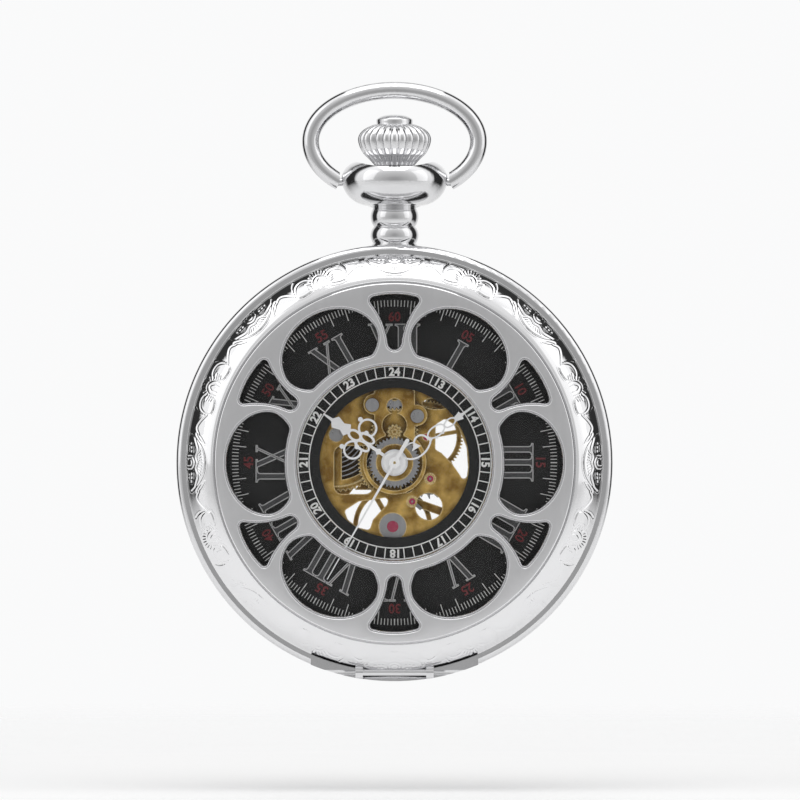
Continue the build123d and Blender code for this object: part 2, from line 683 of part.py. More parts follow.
with BuildPart() as hour_hand:
    with BuildSketch(hand_plane(HOUR_HAND_BASE, HOUR_ANGLE)) as hour_outline:
        with Locations((-1.41, 4.48), (1.41, 4.48)):
            Circle(1.05)
            Circle(0.82, mode=Mode.SUBTRACT)
        with Locations((-0.5, 3.9), (0.5, 3.9)):
            Ellipse(0.52, 0.95)
        with Locations((0, 5.2)):
            Ellipse(0.6, 0.86)
        with Locations((-0.46, 3.85), (0.46, 3.85)):
            Ellipse(0.28, 0.66, mode=Mode.SUBTRACT)
        with Locations((0, 5.2)):
            Ellipse(0.34, 0.56, mode=Mode.SUBTRACT)
        with Locations((-1.76, 5.66), (1.76, 5.66), (-0.9, 4.3), (0.9, 4.3)):
            Circle(0.26)
        with BuildLine():
            Polyline(
                (0.17, 1.2), (0.17, 1.85), (0.4, 2.1), (0.17, 2.35), (0.17, 3.75),
                (-0.17, 3.75), (-0.17, 2.35), (-0.4, 2.1), (-0.17, 1.85), (-0.17, 1.2),
                close=True,
            )
        make_face()
        with BuildLine():
            Polyline(
                (0.2, 5.85), (0.74, 6.2), (0.42, 6.85), (0.7, 7.72), (0.17, 8.15), (0.08, 9.3),
                (-0.08, 9.3), (-0.17, 8.15), (-0.7, 7.72), (-0.42, 6.85), (-0.74, 6.2), (-0.2, 5.85),
                close=True,
            )
        make_face()
        Circle(HUB_R)
        Circle(0.98, mode=Mode.SUBTRACT)
    extrude(amount=HAND_T)
save(hour_hand, "hour_hand")

def stroke(width, *points):
    """A filigree bar of the hand that follows a smooth line through the points."""
    with BuildLine() as path:
        Spline(*points)
    trace(path.line, line_width=width)


with BuildPart() as minute_hand:
    with BuildSketch(hand_plane(MINUTE_HAND_BASE, MINUTE_ANGLE)):
        stroke(0.2, (0.05, 1.1), (0.86, 1.93), (0.99, 3.28), (0.2, 4.65))
        stroke(0.17, (-0.2, 1.05), (-0.74, 2.41), (-0.52, 3.0))
        with BuildLine():
            CenterArc((-0.08, 3.62), 0.79, 74, 161)
        trace(line_width=0.21)
        with BuildLine():
            Polyline(
                (0.19, 3.36), (-0.12, 3.2), (-0.62, 2.95), (-0.36, 2.7), (-0.16, 2.56), (0.1, 2.22),
                close=True,
            )
        make_face()
        with Locations((-0.15, 5.6)):
            Ellipse(0.62, 1.14)
            Ellipse(0.44, 0.95, mode=Mode.SUBTRACT)
        with Locations((0.44, 5.3), (0.4, 6.12)):
            Circle(0.15)
        with Locations((-0.05, 7.35)):
            Ellipse(0.48, 0.78)
            Ellipse(0.3, 0.6, mode=Mode.SUBTRACT)
        with BuildLine():
            Polyline(
                (0.24, 7.95), (0.34, 8.35), (0.48, 8.8), (0.2, 8.86), (0.13, 9.1), (0.05, MINUTE_REACH),
                (-0.05, MINUTE_REACH), (-0.13, 9.1), (-0.2, 8.86), (-0.48, 8.8), (-0.34, 8.35), (-0.24, 7.95),
                close=True,
            )
        make_face()
        with Locations((0.2, 4.62)):
            Circle(0.2)
        Circle(HUB_R - 0.2)
        Circle(0.5, mode=Mode.SUBTRACT)
    extrude(amount=HAND_T)
save(minute_hand, "minute_hand")

with BuildPart() as seconds_hand:
    with BuildSketch(hand_plane(SECONDS_HAND_BASE, SECONDS_ANGLE)):
        with BuildLine():
            Polyline((0.15, 0), (0.05, SECONDS_REACH), (-0.05, SECONDS_REACH), (-0.15, 0), close=True)
        make_face()
        with Locations((0, -SECONDS_TAIL / 2)):
            SlotOverall(SECONDS_TAIL + SECONDS_TAIL_W, SECONDS_TAIL_W, rotation=90)
        Circle(0.62)
        Circle(ARBOR_R, mode=Mode.SUBTRACT)
    extrude(amount=HAND_T)
save(seconds_hand, "seconds_hand")

# =================================================================== motion works
HAND_PIPE = HOUR_HAND_BASE + HAND_T
with BuildPart() as cannon_pinion:
    gear(0, 0, (MINUTE_WHEEL_LEVEL[0], MINUTE_WHEEL_LEVEL[1] + 0.04), CANNON_R, CANNON_LEAVES, 90)
    disc(0, 0, (MINUTE_WHEEL_LEVEL[1], MINUTE_HAND_BASE + HAND_T + 0.1), 0.5)
    bore(0, 0, (MINUTE_WHEEL_LEVEL[0], 12), 0.38 + RUN)
save(cannon_pinion, "cannon_pinion")

with BuildPart() as hour_wheel:
    gear(0, 0, HOUR_WHEEL_LEVEL, HOUR_WHEEL_R, HOUR_TEETH, 90)
    disc(0, 0, (HOUR_WHEEL_LEVEL[0], HAND_PIPE), 0.98)
    bore(0, 0, (HOUR_WHEEL_LEVEL[0], HAND_PIPE), 0.5 + RUN)
save(hour_wheel, "hour_wheel")

with BuildPart() as dial_washer:
    disc(0, 0, (HOUR_WHEEL_LEVEL[1], HOUR_WHEEL_LEVEL[1] + 0.12), 2.02, 0.98 + RUN)
save(dial_washer, "dial_washer")

with BuildPart() as minute_wheel:
    gear(0, MINUTE_WHEEL_Z, MINUTE_WHEEL_LEVEL, MINUTE_WHEEL_R, MINUTE_TEETH, -90 + 180 / MINUTE_TEETH)
    gear(
        0,
        MINUTE_WHEEL_Z,
        (MINUTE_WHEEL_LEVEL[1], HOUR_WHEEL_LEVEL[1] + 0.04),
        MINUTE_PINION_R,
        MINUTE_LEAVES,
        -90 + 180 / MINUTE_LEAVES,
    )
    bore(0, MINUTE_WHEEL_Z, (8, 9.2), 0.26 + RUN)
save(minute_wheel, "minute_wheel")

with BuildPart() as setting_wheel:
    gear(0, SETTING_Z, (7.8, MINUTE_WHEEL_LEVEL[1]), SETTING_R, SETTING_TEETH, -90)
    bore(0, SETTING_Z, (7.5, 9.2), 0.4 + RUN)
save(setting_wheel, "setting_wheel")

# The brass plate over the motion works, with a keyhole window at the minute wheel's pinion.
with BuildPart() as motion_works_plate:
    with BuildSketch(face_plane(COVER_PLATE_LEVEL[0])) as plate_outline:
        Circle(HOUR_WHEEL_R + 0.8)
        with Locations((0, 5.0)):
            Rectangle(4.4, 5.6)
        with Locations((-2.2, 6.3), (2.4, 5.1)):
            Circle(1.15)
        with Locations((0, 7.0)):
            Circle(2.2)
        Circle(HOUR_WHEEL_R + 0.35, mode=Mode.SUBTRACT)
        with Locations((0, 4.0)):
            Circle(1.3, mode=Mode.SUBTRACT)
        with Locations((0, 3.0)):
            Rectangle(1.9, 2.0, mode=Mode.SUBTRACT)
        with Locations((0, 6.08)):
            Circle(0.82, mode=Mode.SUBTRACT)
        with Locations(*PLATE_SCREWS):
            Circle(SCREW_R + RUN, mode=Mode.SUBTRACT)
    extrude(amount=COVER_PLATE_LEVEL[1] - COVER_PLATE_LEVEL[0])
save(motion_works_plate, "motion_works_plate")

with BuildPart() as cover_plate_screws:
    for x, z in PLATE_SCREWS:
        disc(x, z, (COVER_PLATE_LEVEL[1], COVER_PLATE_LEVEL[1] + 0.12), SCREW_HEAD_R)
        disc(x, z, (PLATE_TOP - 0.6, COVER_PLATE_LEVEL[1]), SCREW_R)
save(cover_plate_screws, "cover_plate_screws")

# =================================================================== main plate and bridges
SIDE_WINDOW = [
    (4.45, 4.1), (5.4, 4.7), (6.9, 3.8), (7.8, 1.6), (7.95, -0.6), (7.7, -2.6), (7.1, -1.4), (6.2, -0.1),
    (5.1, 1.0), (4.4, 1.4),
]
LOW_WINDOW = [
    (-5.4, -5.2), (-3.84, -4.2), (-2.1, -4.0), (-0.6, -3.7), (-0.85, -4.6), (-1.6, -5.35), (-2.35, -6.2),
    (-2.7, -7.3), (-4.0, -7.0), (-5.05, -6.15),
]
CLAMP_ANGLES = (20, 200)
WINDING_ROOM = 2.0
with BuildPart() as main_plate:
    disc(0, 0, (PLATE_BASE, PLATE_TOP), PLATE_OUTER_R)
    disc(0, 0, (BRIDGE_TOP, PLATE_BASE), PLATE_OUTER_R, PLATE_OUTER_R - PLATE_WALL)
    for x, z in BRIDGE_SCREWS:
        disc(x, z, (BRIDGE_TOP, PLATE_BASE), POST_R)
    disc(PALLET_SCREWS[0][0], PALLET_SCREWS[0][1], (5.25, PLATE_BASE), 0.8)
    for x, z in PLATE_SCREWS:
        disc(x, z, (PLATE_TOP, COVER_PLATE_LEVEL[0]), 0.6)
    with BuildSketch(face_plane(PLATE_BASE)) as windows:
        with Locations((-4.4, -0.8)):
            RectangleRounded(4.2, 5.2, 0.9)
        for corners in (SIDE_WINDOW, LOW_WINDOW):
            with BuildLine():
                FilletPolyline(*corners, radius=0.35, close=True)
            make_face()
        with Locations((1.35, -2.6)):
            Circle(0.65)
        with Locations((3.7, -4.75)):
            Circle(1.45)
        with Locations((4.6, 6.35)):
            Ellipse(1.6, 0.6)
    extrude(windows.sketch, amount=PLATE_TOP - PLATE_BASE, mode=Mode.SUBTRACT)
    with BuildSketch(face_plane(PLATE_BASE)) as keyless_room:
        with Locations((0, (BEARING_TOP_Z + KEYLESS_ROOM_Z) / 2)):
            Rectangle(2 * WINDING_ROOM, KEYLESS_ROOM_Z - BEARING_TOP_Z)
    extrude(keyless_room.sketch, amount=0.75, mode=Mode.SUBTRACT)
    with BuildSketch(face_plane(7.7, 0, SETTING_Z)) as setting_room:
        Circle(SETTING_R + 0.2)
    extrude(setting_room.sketch, amount=1, mode=Mode.SUBTRACT)
    disc(0, SETTING_Z, (7.6, PLATE_TOP + 0.4), 0.4)
    disc(0, MINUTE_WHEEL_Z, (PLATE_TOP, HOUR_WHEEL_LEVEL[1] + 0.08), 0.26)
    with BuildSketch(stem_level(BEARING_BASE_Z)) as stem_bearing:
        with Locations((0, -0.35)):
            Rectangle(1.8, 1.9)
    extrude(stem_bearing.sketch, amount=BEARING_TOP_Z - BEARING_BASE_Z)
    with BuildSketch(stem_level(7.5)) as stem_hole:
        Circle(0.4 + RUN)
    extrude(stem_hole.sketch, amount=1.3, mode=Mode.SUBTRACT)
    with BuildSketch(stem_level(12)) as stem_way:
        Circle(STEM_R + FIT)
    extrude(stem_way.sketch, amount=4, mode=Mode.SUBTRACT)
    bore(0, 0, (PLATE_BASE, PLATE_TOP), 0.38 + RUN)
    bore(THIRD_X, THIRD_Z, (PLATE_BASE, PLATE_TOP), JEWEL_R)
    bore(ESCAPE_X, ESCAPE_Z, (PLATE_BASE, PLATE_TOP), CHATON_R)
    bore(PALLET_X, PALLET_Z, (PLATE_BASE, PLATE_TOP), CHATON_R)
    bore(BALANCE_X, BALANCE_Z, (PLATE_BASE, PLATE_TOP), 1.45)
    bore(BARREL_X, BARREL_Z, (PLATE_BASE, PLATE_TOP), 0.72 + RUN)
    for side in (-1, 1):
        bore(side * 9.2, -9.2, (PLATE_BASE, PLATE_TOP), DIAL_FOOT_R + RUN)
    for x, z in BRIDGE_SCREWS:
        bore(x, z, (BRIDGE_TOP, 5.6), SCREW_R)
    bore(PALLET_SCREWS[0][0], PALLET_SCREWS[0][1], (5.2, 6.2), 0.25)
    for x, z in PLATE_SCREWS:
        bore(x, z, (PLATE_TOP - 0.6, COVER_PLATE_LEVEL[0]), SCREW_R)
save(main_plate, "main_plate")

# The bridges are cut from one disc along a slanted line and a level line.
SPLIT_LOW = (-9.5, -9.4)
SPLIT_HIGH = (7.0, 11.4)
TRAIN_BRIDGE_LOW_Z = -3.0
SPLIT_ANGLE = math.degrees(math.atan2(SPLIT_HIGH[1] - SPLIT_LOW[1], SPLIT_HIGH[0] - SPLIT_LOW[0]))


def bridge_half(side):
    """Half of the bridge disc, beyond the slanted line by half the gap; side is 1 for its left."""
    with BuildSketch(Plane.XY) as half:
        with Locations(Location((SPLIT_LOW[0], SPLIT_LOW[1], 0), (0, 0, SPLIT_ANGLE))):
            with Locations((0, side * (BRIDGE_GAP / 2 + 30))):
                Rectangle(120, 60)
        Circle(BRIDGE_R, mode=Mode.INTERSECT)
    return half.sketch


with BuildPart() as barrel_bridge:
    with BuildSketch(face_plane(BRIDGE_BASE)):
        add(bridge_half(1))
        with Locations((CROWN_WHEEL_X, CROWN_WHEEL_Z)):
            Circle(CROWN_WHEEL_R + 0.2, mode=Mode.SUBTRACT)
        with Locations((BARREL_X, BARREL_Z)):
            Circle(0.72 + RUN, mode=Mode.SUBTRACT)
        with Locations(*BARREL_BRIDGE_SCREWS):
            Circle(SCREW_R + RUN, mode=Mode.SUBTRACT)
    extrude(amount=BRIDGE_TOP - BRIDGE_BASE)
    disc(CROWN_WHEEL_X, CROWN_WHEEL_Z, (BRIDGE_BASE, 4.75), 0.9)
    arm_angle = math.radians(135)
    arm_end = (
        CROWN_WHEEL_X + (CROWN_WHEEL_R + 0.75) * math.cos(arm_angle),
        CROWN_WHEEL_Z + (CROWN_WHEEL_R + 0.75) * math.sin(arm_angle),
    )
    with BuildSketch(face_plane(4.55)) as core_arm:
        with BuildLine():
            Line((CROWN_WHEEL_X, CROWN_WHEEL_Z), arm_end)
        trace(line_width=0.9)
    extrude(core_arm.sketch, amount=0.2)
    disc(arm_end[0], arm_end[1], (BRIDGE_BASE, 4.75), 0.5)
save(barrel_bridge, "barrel_bridge")

with BuildPart() as train_bridge:
    with BuildSketch(face_plane(BRIDGE_BASE)):
        add(bridge_half(-1))
        with Locations((0, TRAIN_BRIDGE_LOW_Z - 20)):
            Rectangle(60, 40, mode=Mode.SUBTRACT)
        with BuildLine():
            FilletPolyline(*SIDE_WINDOW, radius=0.35, close=True)
        make_face(mode=Mode.SUBTRACT)
        with Locations((0, 0), (THIRD_X, THIRD_Z), (ESCAPE_X, ESCAPE_Z)):
            Circle(JEWEL_R, mode=Mode.SUBTRACT)
        with Locations(*TRAIN_BRIDGE_SCREWS):
            Circle(SCREW_R + RUN, mode=Mode.SUBTRACT)
    extrude(amount=BRIDGE_TOP - BRIDGE_BASE)
save(train_bridge, "train_bridge")

with BuildPart() as balance_cock:
    with BuildSketch(face_plane(BRIDGE_BASE)):
        with Locations((BALANCE_X, BALANCE_Z)):
            Circle(1.7)
        with Locations((BALANCE_X, (BALANCE_Z - 12.3) / 2)):
            Rectangle(2.2, abs(BALANCE_Z + 12.3))
        with Locations((BALANCE_X, -12.3)):
            Rectangle(6.4, 1.9)
        Circle(BRIDGE_R, mode=Mode.INTERSECT)
        with Locations((BALANCE_X, BALANCE_Z)):
            Circle(JEWEL_R, mode=Mode.SUBTRACT)
        with Locations(*COCK_SCREWS):
            Circle(SCREW_R + RUN, mode=Mode.SUBTRACT)
    extrude(amount=BRIDGE_TOP - BRIDGE_BASE)
save(balance_cock, "balance_cock")

with BuildPart() as pallet_cock:
    with BuildSketch(face_plane(4.95)):
        with Locations((PALLET_X, PALLET_Z)):
            Circle(0.6)
        with Locations(PALLET_SCREWS[0]):
            Circle(0.8)
        with BuildLine():
            Line((PALLET_X, PALLET_Z), PALLET_SCREWS[0])
        trace(line_width=0.9)
        with Locations((PALLET_X, PALLET_Z)):
            Circle(PIVOT_R + RUN, mode=Mode.SUBTRACT)
        with Locations(PALLET_SCREWS[0]):
            Circle(0.25, mode=Mode.SUBTRACT)
    extrude(amount=0.25)
save(pallet_cock, "pallet_cock")

with BuildPart() as bridge_screws:
    for x, z in BRIDGE_SCREWS:
        disc(x, z, (BRIDGE_BASE - SCREW_HEAD_T, BRIDGE_BASE), SCREW_HEAD_R)
        disc(x, z, (BRIDGE_BASE, 5.6), SCREW_R)
        with BuildSketch(face_plane(BRIDGE_BASE - SCREW_HEAD_T, x, z)) as slot:
            Rectangle(2 * SCREW_HEAD_R, 0.2)
        extrude(slot.sketch, amount=0.15, mode=Mode.SUBTRACT)
    disc(PALLET_SCREWS[0][0], PALLET_SCREWS[0][1], (4.88, 4.95), 0.45)
    disc(PALLET_SCREWS[0][0], PALLET_SCREWS[0][1], (4.95, 6.2), 0.25)
save(bridge_screws, "bridge_screws")

# =================================================================== jewels
PLATE_JEWELS = [(ESCAPE_X, ESCAPE_Z), (PALLET_X, PALLET_Z)]
with BuildPart() as plate_jewels:
    for x, z in PLATE_JEWELS:
        disc(x, z, (PLATE_TOP - 0.6, PLATE_TOP - 0.05), JEWEL_R, PIVOT_R + RUN)
    disc(THIRD_X, THIRD_Z, (PLATE_TOP - 0.6, PLATE_TOP), JEWEL_R, PIVOT_R + RUN)
save(plate_jewels, "plate_jewels")

with BuildPart() as jewel_settings:
    for x, z in PLATE_JEWELS:
        disc(x, z, (PLATE_TOP - 0.6, PLATE_TOP + 0.02), CHATON_R, JEWEL_R)
save(jewel_settings, "jewel_settings")

with BuildPart() as bridge_jewels:
    for x, z in ((0, 0), (THIRD_X, THIRD_Z), (ESCAPE_X, ESCAPE_Z), (BALANCE_X, BALANCE_Z)):
        disc(x, z, (BRIDGE_BASE + 0.05, BRIDGE_TOP), JEWEL_R, PIVOT_R + RUN)
save(bridge_jewels, "bridge_jewels")

with BuildPart() as shock_setting:
    disc(BALANCE_X, BALANCE_Z, (PLATE_TOP - 0.7, PLATE_TOP), 1.45, 0.62)
save(shock_setting, "shock_setting")

with BuildPart() as shock_jewel:
    disc(BALANCE_X, BALANCE_Z, (PLATE_TOP - 0.6, PLATE_TOP - 0.05), 0.62)
    bore(BALANCE_X, BALANCE_Z, (PLATE_TOP - 0.6, PLATE_TOP - 0.3), PIVOT_R + RUN)
save(shock_jewel, "shock_jewel")

# =================================================================== barrel and winding works
with BuildPart() as barrel:
    disc(BARREL_X, BARREL_Z, (BARREL_LEVEL[0], BARREL_LEVEL[0] + 0.2), 5.95, 0.72 + RUN)
    disc(BARREL_X, BARREL_Z, (BARREL_LEVEL[0], BARREL_LEVEL[1]), 5.95, 5.6)
    barrel_phase = math.degrees(math.atan2(-BARREL_Z, -BARREL_X))
    gear(BARREL_X, BARREL_Z, BARREL_TEETH_LEVEL, BARREL_PITCH_R, BARREL_TEETH, barrel_phase, bore_r=5.6)
save(barrel, "barrel")

with BuildPart() as barrel_cover:
    disc(BARREL_X, BARREL_Z, (6.3, 6.45), 5.6, 0.72 + RUN)
    cross_out(BARREL_X, BARREL_Z, (6.3, 6.45), 1.5, 4.9, 3, 1.2, turn=30)
save(barrel_cover, "barrel_cover")

with BuildPart() as barrel_arbor:
    disc(BARREL_X, BARREL_Z, (RATCHET_LEVEL[1], PLATE_TOP + 0.1), 0.72)
    disc(BARREL_X, BARREL_Z, (5.05, 6.2), 1.1)
save(barrel_arbor, "barrel_arbor")

with BuildPart() as mainspring:
    with BuildSketch(face_plane(5.1, BARREL_X, BARREL_Z)) as coil:
        with BuildLine():
            for centre, radius, start in spiral_arcs(1.9, 5.3, 7):
                CenterArc((centre, 0), radius, start, 180)
        trace(line_width=0.12)
    extrude(coil.sketch, amount=1.1)
save(mainspring, "mainspring")

with BuildPart() as ratchet_wheel:
    gear(BARREL_X, BARREL_Z, RATCHET_LEVEL, RATCHET_R, RATCHET_TEETH, CROWN_WHEEL_ANGLE)
    bore(BARREL_X, BARREL_Z, RATCHET_LEVEL, 0.3)
save(ratchet_wheel, "ratchet_wheel")

with BuildPart() as ratchet_screw:
    disc(BARREL_X, BARREL_Z, (RATCHET_LEVEL[0] - 0.3, RATCHET_LEVEL[0]), 1.0)
    disc(BARREL_X, BARREL_Z, RATCHET_LEVEL, 0.3)
save(ratchet_screw, "ratchet_screw")

with BuildPart() as crown_wheel:
    gear(
        CROWN_WHEEL_X,
        CROWN_WHEEL_Z,
        RATCHET_LEVEL,
        CROWN_WHEEL_R,
        CROWN_WHEEL_TEETH,
        CROWN_WHEEL_ANGLE + 180 + 180 / CROWN_WHEEL_TEETH,
    )
    disc(CROWN_WHEEL_X, CROWN_WHEEL_Z, (RATCHET_LEVEL[1], 4.5), CROWN_WHEEL_R - 0.15, CROWN_WHEEL_R - 0.7)
    bore(CROWN_WHEEL_X, CROWN_WHEEL_Z, RATCHET_LEVEL, 0.6 + RUN)
save(crown_wheel, "crown_wheel")

with BuildPart() as crown_wheel_core:
    disc(CROWN_WHEEL_X, CROWN_WHEEL_Z, RATCHET_LEVEL, 0.6)
    disc(CROWN_WHEEL_X, CROWN_WHEEL_Z, (RATCHET_LEVEL[0] - 0.3, RATCHET_LEVEL[0] - RUN), 1.0)
    disc(CROWN_WHEEL_X, CROWN_WHEEL_Z, (RATCHET_LEVEL[0] - RUN, BRIDGE_BASE), 0.6)
save(crown_wheel_core, "crown_wheel_core")

CLICK_X = -9.2
CLICK_Z = 8.3
with BuildPart() as click:
    with BuildSketch(face_plane(RATCHET_LEVEL[0], CLICK_X, CLICK_Z)):
        Circle(0.75)
        with BuildLine():
            Polyline((0.5, 0.4), (1.35, -0.75), (1.1, -0.95), (-0.4, -0.5), close=True)
        make_face()
    extrude(amount=0.3)
save(click, "click")

with BuildPart() as click_spring:
    with BuildSketch(face_plane(RATCHET_LEVEL[0], CLICK_X, CLICK_Z)) as wire_spring:
        with BuildLine():
            CenterArc((0, 0), 1.0, 20, 150)
        trace(line_width=0.14)
    extrude(amount=0.25)
save(click_spring, "click_spring")

# =================================================================== going train
with BuildPart() as centre_wheel:
    gear(0, 0, CENTRE_LEVEL, CENTRE_WHEEL_R, CENTRE_TEETH, THIRD_ANGLE)
    cross_out(0, 0, CENTRE_LEVEL, 1.2, CENTRE_WHEEL_R - 0.7, 4, 0.6, turn=20)
    pinion_phase = math.degrees(math.atan2(BARREL_Z, BARREL_X)) + 180 / CENTRE_PINION_LEAVES
    pinion_levels = (BARREL_TEETH_LEVEL[0] - 0.05, CENTRE_LEVEL[0])
    gear(0, 0, pinion_levels, CENTRE_PINION_R, CENTRE_PINION_LEAVES, pinion_phase)
    disc(0, 0, (CENTRE_LEVEL[1], 9.6), 0.38)
    bore(0, 0, (5, 10), ARBOR_R + RUN)
save(centre_wheel, "centre_wheel")

with BuildPart() as third_wheel:
    gear(THIRD_X, THIRD_Z, THIRD_LEVEL, THIRD_WHEEL_R, THIRD_TEETH, THIRD_ANGLE + 180)
    cross_out(THIRD_X, THIRD_Z, THIRD_LEVEL, 0.9, THIRD_WHEEL_R - 0.65, 5, 0.45, turn=10)
    gear(
        THIRD_X,
        THIRD_Z,
        (CENTRE_LEVEL[0] - 0.1, CENTRE_LEVEL[1] + 0.05),
        THIRD_PINION_R,
        THIRD_LEAVES,
        THIRD_ANGLE + 180 + 180 / THIRD_LEAVES,
    )
    disc(THIRD_X, THIRD_Z, (BRIDGE_TOP + RUN, PLATE_TOP - 0.65), ARBOR_R)
    disc(THIRD_X, THIRD_Z, (BRIDGE_BASE + 0.1, PLATE_TOP - 0.1), PIVOT_R)
save(third_wheel, "third_wheel")

with BuildPart() as fourth_wheel:
    escape_direction = math.degrees(math.atan2(ESCAPE_Z, ESCAPE_X))
    gear(0, 0, FOURTH_LEVEL, FOURTH_WHEEL_R, FOURTH_TEETH, escape_direction)
    cross_out(0, 0, FOURTH_LEVEL, 0.8, FOURTH_WHEEL_R - 0.6, 5, 0.4)
    gear(
        0,
        0,
        (THIRD_LEVEL[0] - 0.05, THIRD_LEVEL[1] + 0.05),
        FOURTH_PINION_R,
        FOURTH_LEAVES,
        THIRD_ANGLE + 180 / FOURTH_LEAVES,
    )
    disc(0, 0, (BRIDGE_TOP + RUN, SECONDS_HAND_BASE + HAND_T), ARBOR_R)
    disc(0, 0, (BRIDGE_BASE + 0.1, BRIDGE_TOP + RUN), PIVOT_R)
save(fourth_wheel, "fourth_wheel")

with BuildPart() as escape_wheel:
    with BuildSketch(face_plane(ESCAPE_LEVEL[0], ESCAPE_X, ESCAPE_Z)):
        Circle(ESCAPE_R - 0.45)
        for tooth in range(ESCAPE_TEETH):
            with BuildLine(Plane.XY.rotated((0, 0, tooth * 360 / ESCAPE_TEETH))):
                Polyline(
                    (ESCAPE_R - 0.6, -0.22), (ESCAPE_R, 0.12), (ESCAPE_R, 0.24), (ESCAPE_R - 0.6, 0.16),
                    close=True,
                )
            make_face()
    extrude(amount=ESCAPE_LEVEL[1] - ESCAPE_LEVEL[0])
    cross_out(ESCAPE_X, ESCAPE_Z, ESCAPE_LEVEL, 0.55, ESCAPE_R - 0.75, 4, 0.3)
    gear(
        ESCAPE_X,
        ESCAPE_Z,
        (FOURTH_LEVEL[0] - 0.05, FOURTH_LEVEL[1] + 0.1),
        ESCAPE_PINION_R,
        ESCAPE_LEAVES,
        escape_direction + 180 + 180 / ESCAPE_LEAVES,
    )
    disc(ESCAPE_X, ESCAPE_Z, (BRIDGE_TOP + RUN, PLATE_TOP - 0.65), ARBOR_R)
    disc(ESCAPE_X, ESCAPE_Z, (BRIDGE_BASE + 0.1, PLATE_TOP - 0.1), PIVOT_R)
save(escape_wheel, "escape_wheel")

# The lever: its two arms end in pallet stones beside the escape wheel, its fork points to the balance.
PALLET_TO_BALANCE = math.degrees(math.atan2(BALANCE_Z - PALLET_Z, BALANCE_X - PALLET_X))
with BuildPart() as pallet_fork:
    with BuildSketch(face_plane(ESCAPE_LEVEL[0], PALLET_X, PALLET_Z)) as lever:
        Circle(0.35)
        with BuildLine(Plane.XY.rotated((0, 0, PALLET_TO_BALANCE))):
            Polyline((0, -0.14), (2.3, -0.14), (2.3, 0.14), (0, 0.14), close=True)
        make_face()
        with BuildLine(Plane.XY.rotated((0, 0, PALLET_TO_BALANCE))):
            Polyline((-0.1, -1.35), (0.25, -1.3), (0.2, 0), (0.25, 1.3), (-0.1, 1.35), (-0.2, 0), close=True)
        make_face()
    extrude(amount=ESCAPE_LEVEL[1] - ESCAPE_LEVEL[0])
    disc(PALLET_X, PALLET_Z, (5.25, PLATE_TOP - 0.65), ARBOR_R)
    disc(PALLET_X, PALLET_Z, (5.0, PLATE_TOP - 0.1), PIVOT_R)
save(pallet_fork, "pallet_fork")

with BuildPart() as balance_wheel:
    disc(BALANCE_X, BALANCE_Z, BALANCE_LEVEL, BALANCE_R, BALANCE_R - 0.55)
    disc(BALANCE_X, BALANCE_Z, BALANCE_LEVEL, 0.7)
    with BuildSketch(face_plane(BALANCE_LEVEL[0], BALANCE_X, BALANCE_Z)) as arms:
        with PolarLocations(0, 3):
            Rectangle(BALANCE_R - 0.3, 0.55, align=(Align.MIN, Align.CENTER))
    extrude(arms.sketch, amount=0.25)
    disc(BALANCE_X, BALANCE_Z, (BRIDGE_TOP + RUN, PLATE_TOP - 0.75), ARBOR_R)
    disc(BALANCE_X, BALANCE_Z, (BRIDGE_BASE + 0.1, PLATE_TOP - 0.35), PIVOT_R)
    disc(BALANCE_X, BALANCE_Z, (5.65, 5.8), 0.8)
save(balance_wheel, "balance_wheel")

with BuildPart() as hairspring:
    with BuildSketch(face_plane(HAIRSPRING_LEVEL[0], BALANCE_X, BALANCE_Z)) as coil:
        with BuildLine():
            for centre, radius, start in spiral_arcs(0.5, 2.1, 7):
                CenterArc((centre, 0), radius, start, 180)
        trace(line_width=0.05)
    extrude(amount=HAIRSPRING_LEVEL[1] - HAIRSPRING_LEVEL[0])
save(hairspring, "hairspring")

# =================================================================== holder and clamps
with BuildPart() as movement_holder:
    disc(0, 0, (BRIDGE_TOP, BAND_SEAT_H), HOLDER_OUTER_R, PLATE_OUTER_R + FIT)
    disc(0, 0, (BAND_SEAT_H, DIAL_BASE), DIAL_R - 0.5, PLATE_OUTER_R + FIT)
    with BuildSketch(face_plane(BRIDGE_TOP)) as spring_room:
        Circle(HOLDER_OUTER_R + 1)
        Circle(CATCH_R - CATCH_ROOM, mode=Mode.SUBTRACT)
    extrude(spring_room.sketch, amount=1.7, mode=Mode.SUBTRACT)
    with BuildSketch(stem_level(13)) as stem_gap:
        Circle(1.2)
    extrude(stem_gap.sketch, amount=9, mode=Mode.SUBTRACT)
save(movement_holder, "movement_holder")

with BuildPart() as movement_clamps:
    for angle in CLAMP_ANGLES:
        with BuildSketch(face_plane(BRIDGE_TOP - 0.3)) as tab:
            with PolarLocations(15.4, 1, start_angle=angle):
                SlotOverall(3.6, 1.8)
                Circle(0.4, mode=Mode.SUBTRACT)
        extrude(tab.sketch, amount=0.3)
save(movement_clamps, "movement_clamps")

with BuildPart() as clamp_screws:
    for angle in CLAMP_ANGLES:
        x = 15.4 * math.cos(math.radians(angle))
        z = 15.4 * math.sin(math.radians(angle))
        disc(x, z, (BRIDGE_TOP - 0.65, BRIDGE_TOP - 0.3), 0.75)
        disc(x, z, (BRIDGE_TOP - 0.3, BRIDGE_TOP), 0.4)
save(clamp_screws, "clamp_screws")
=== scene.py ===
import math

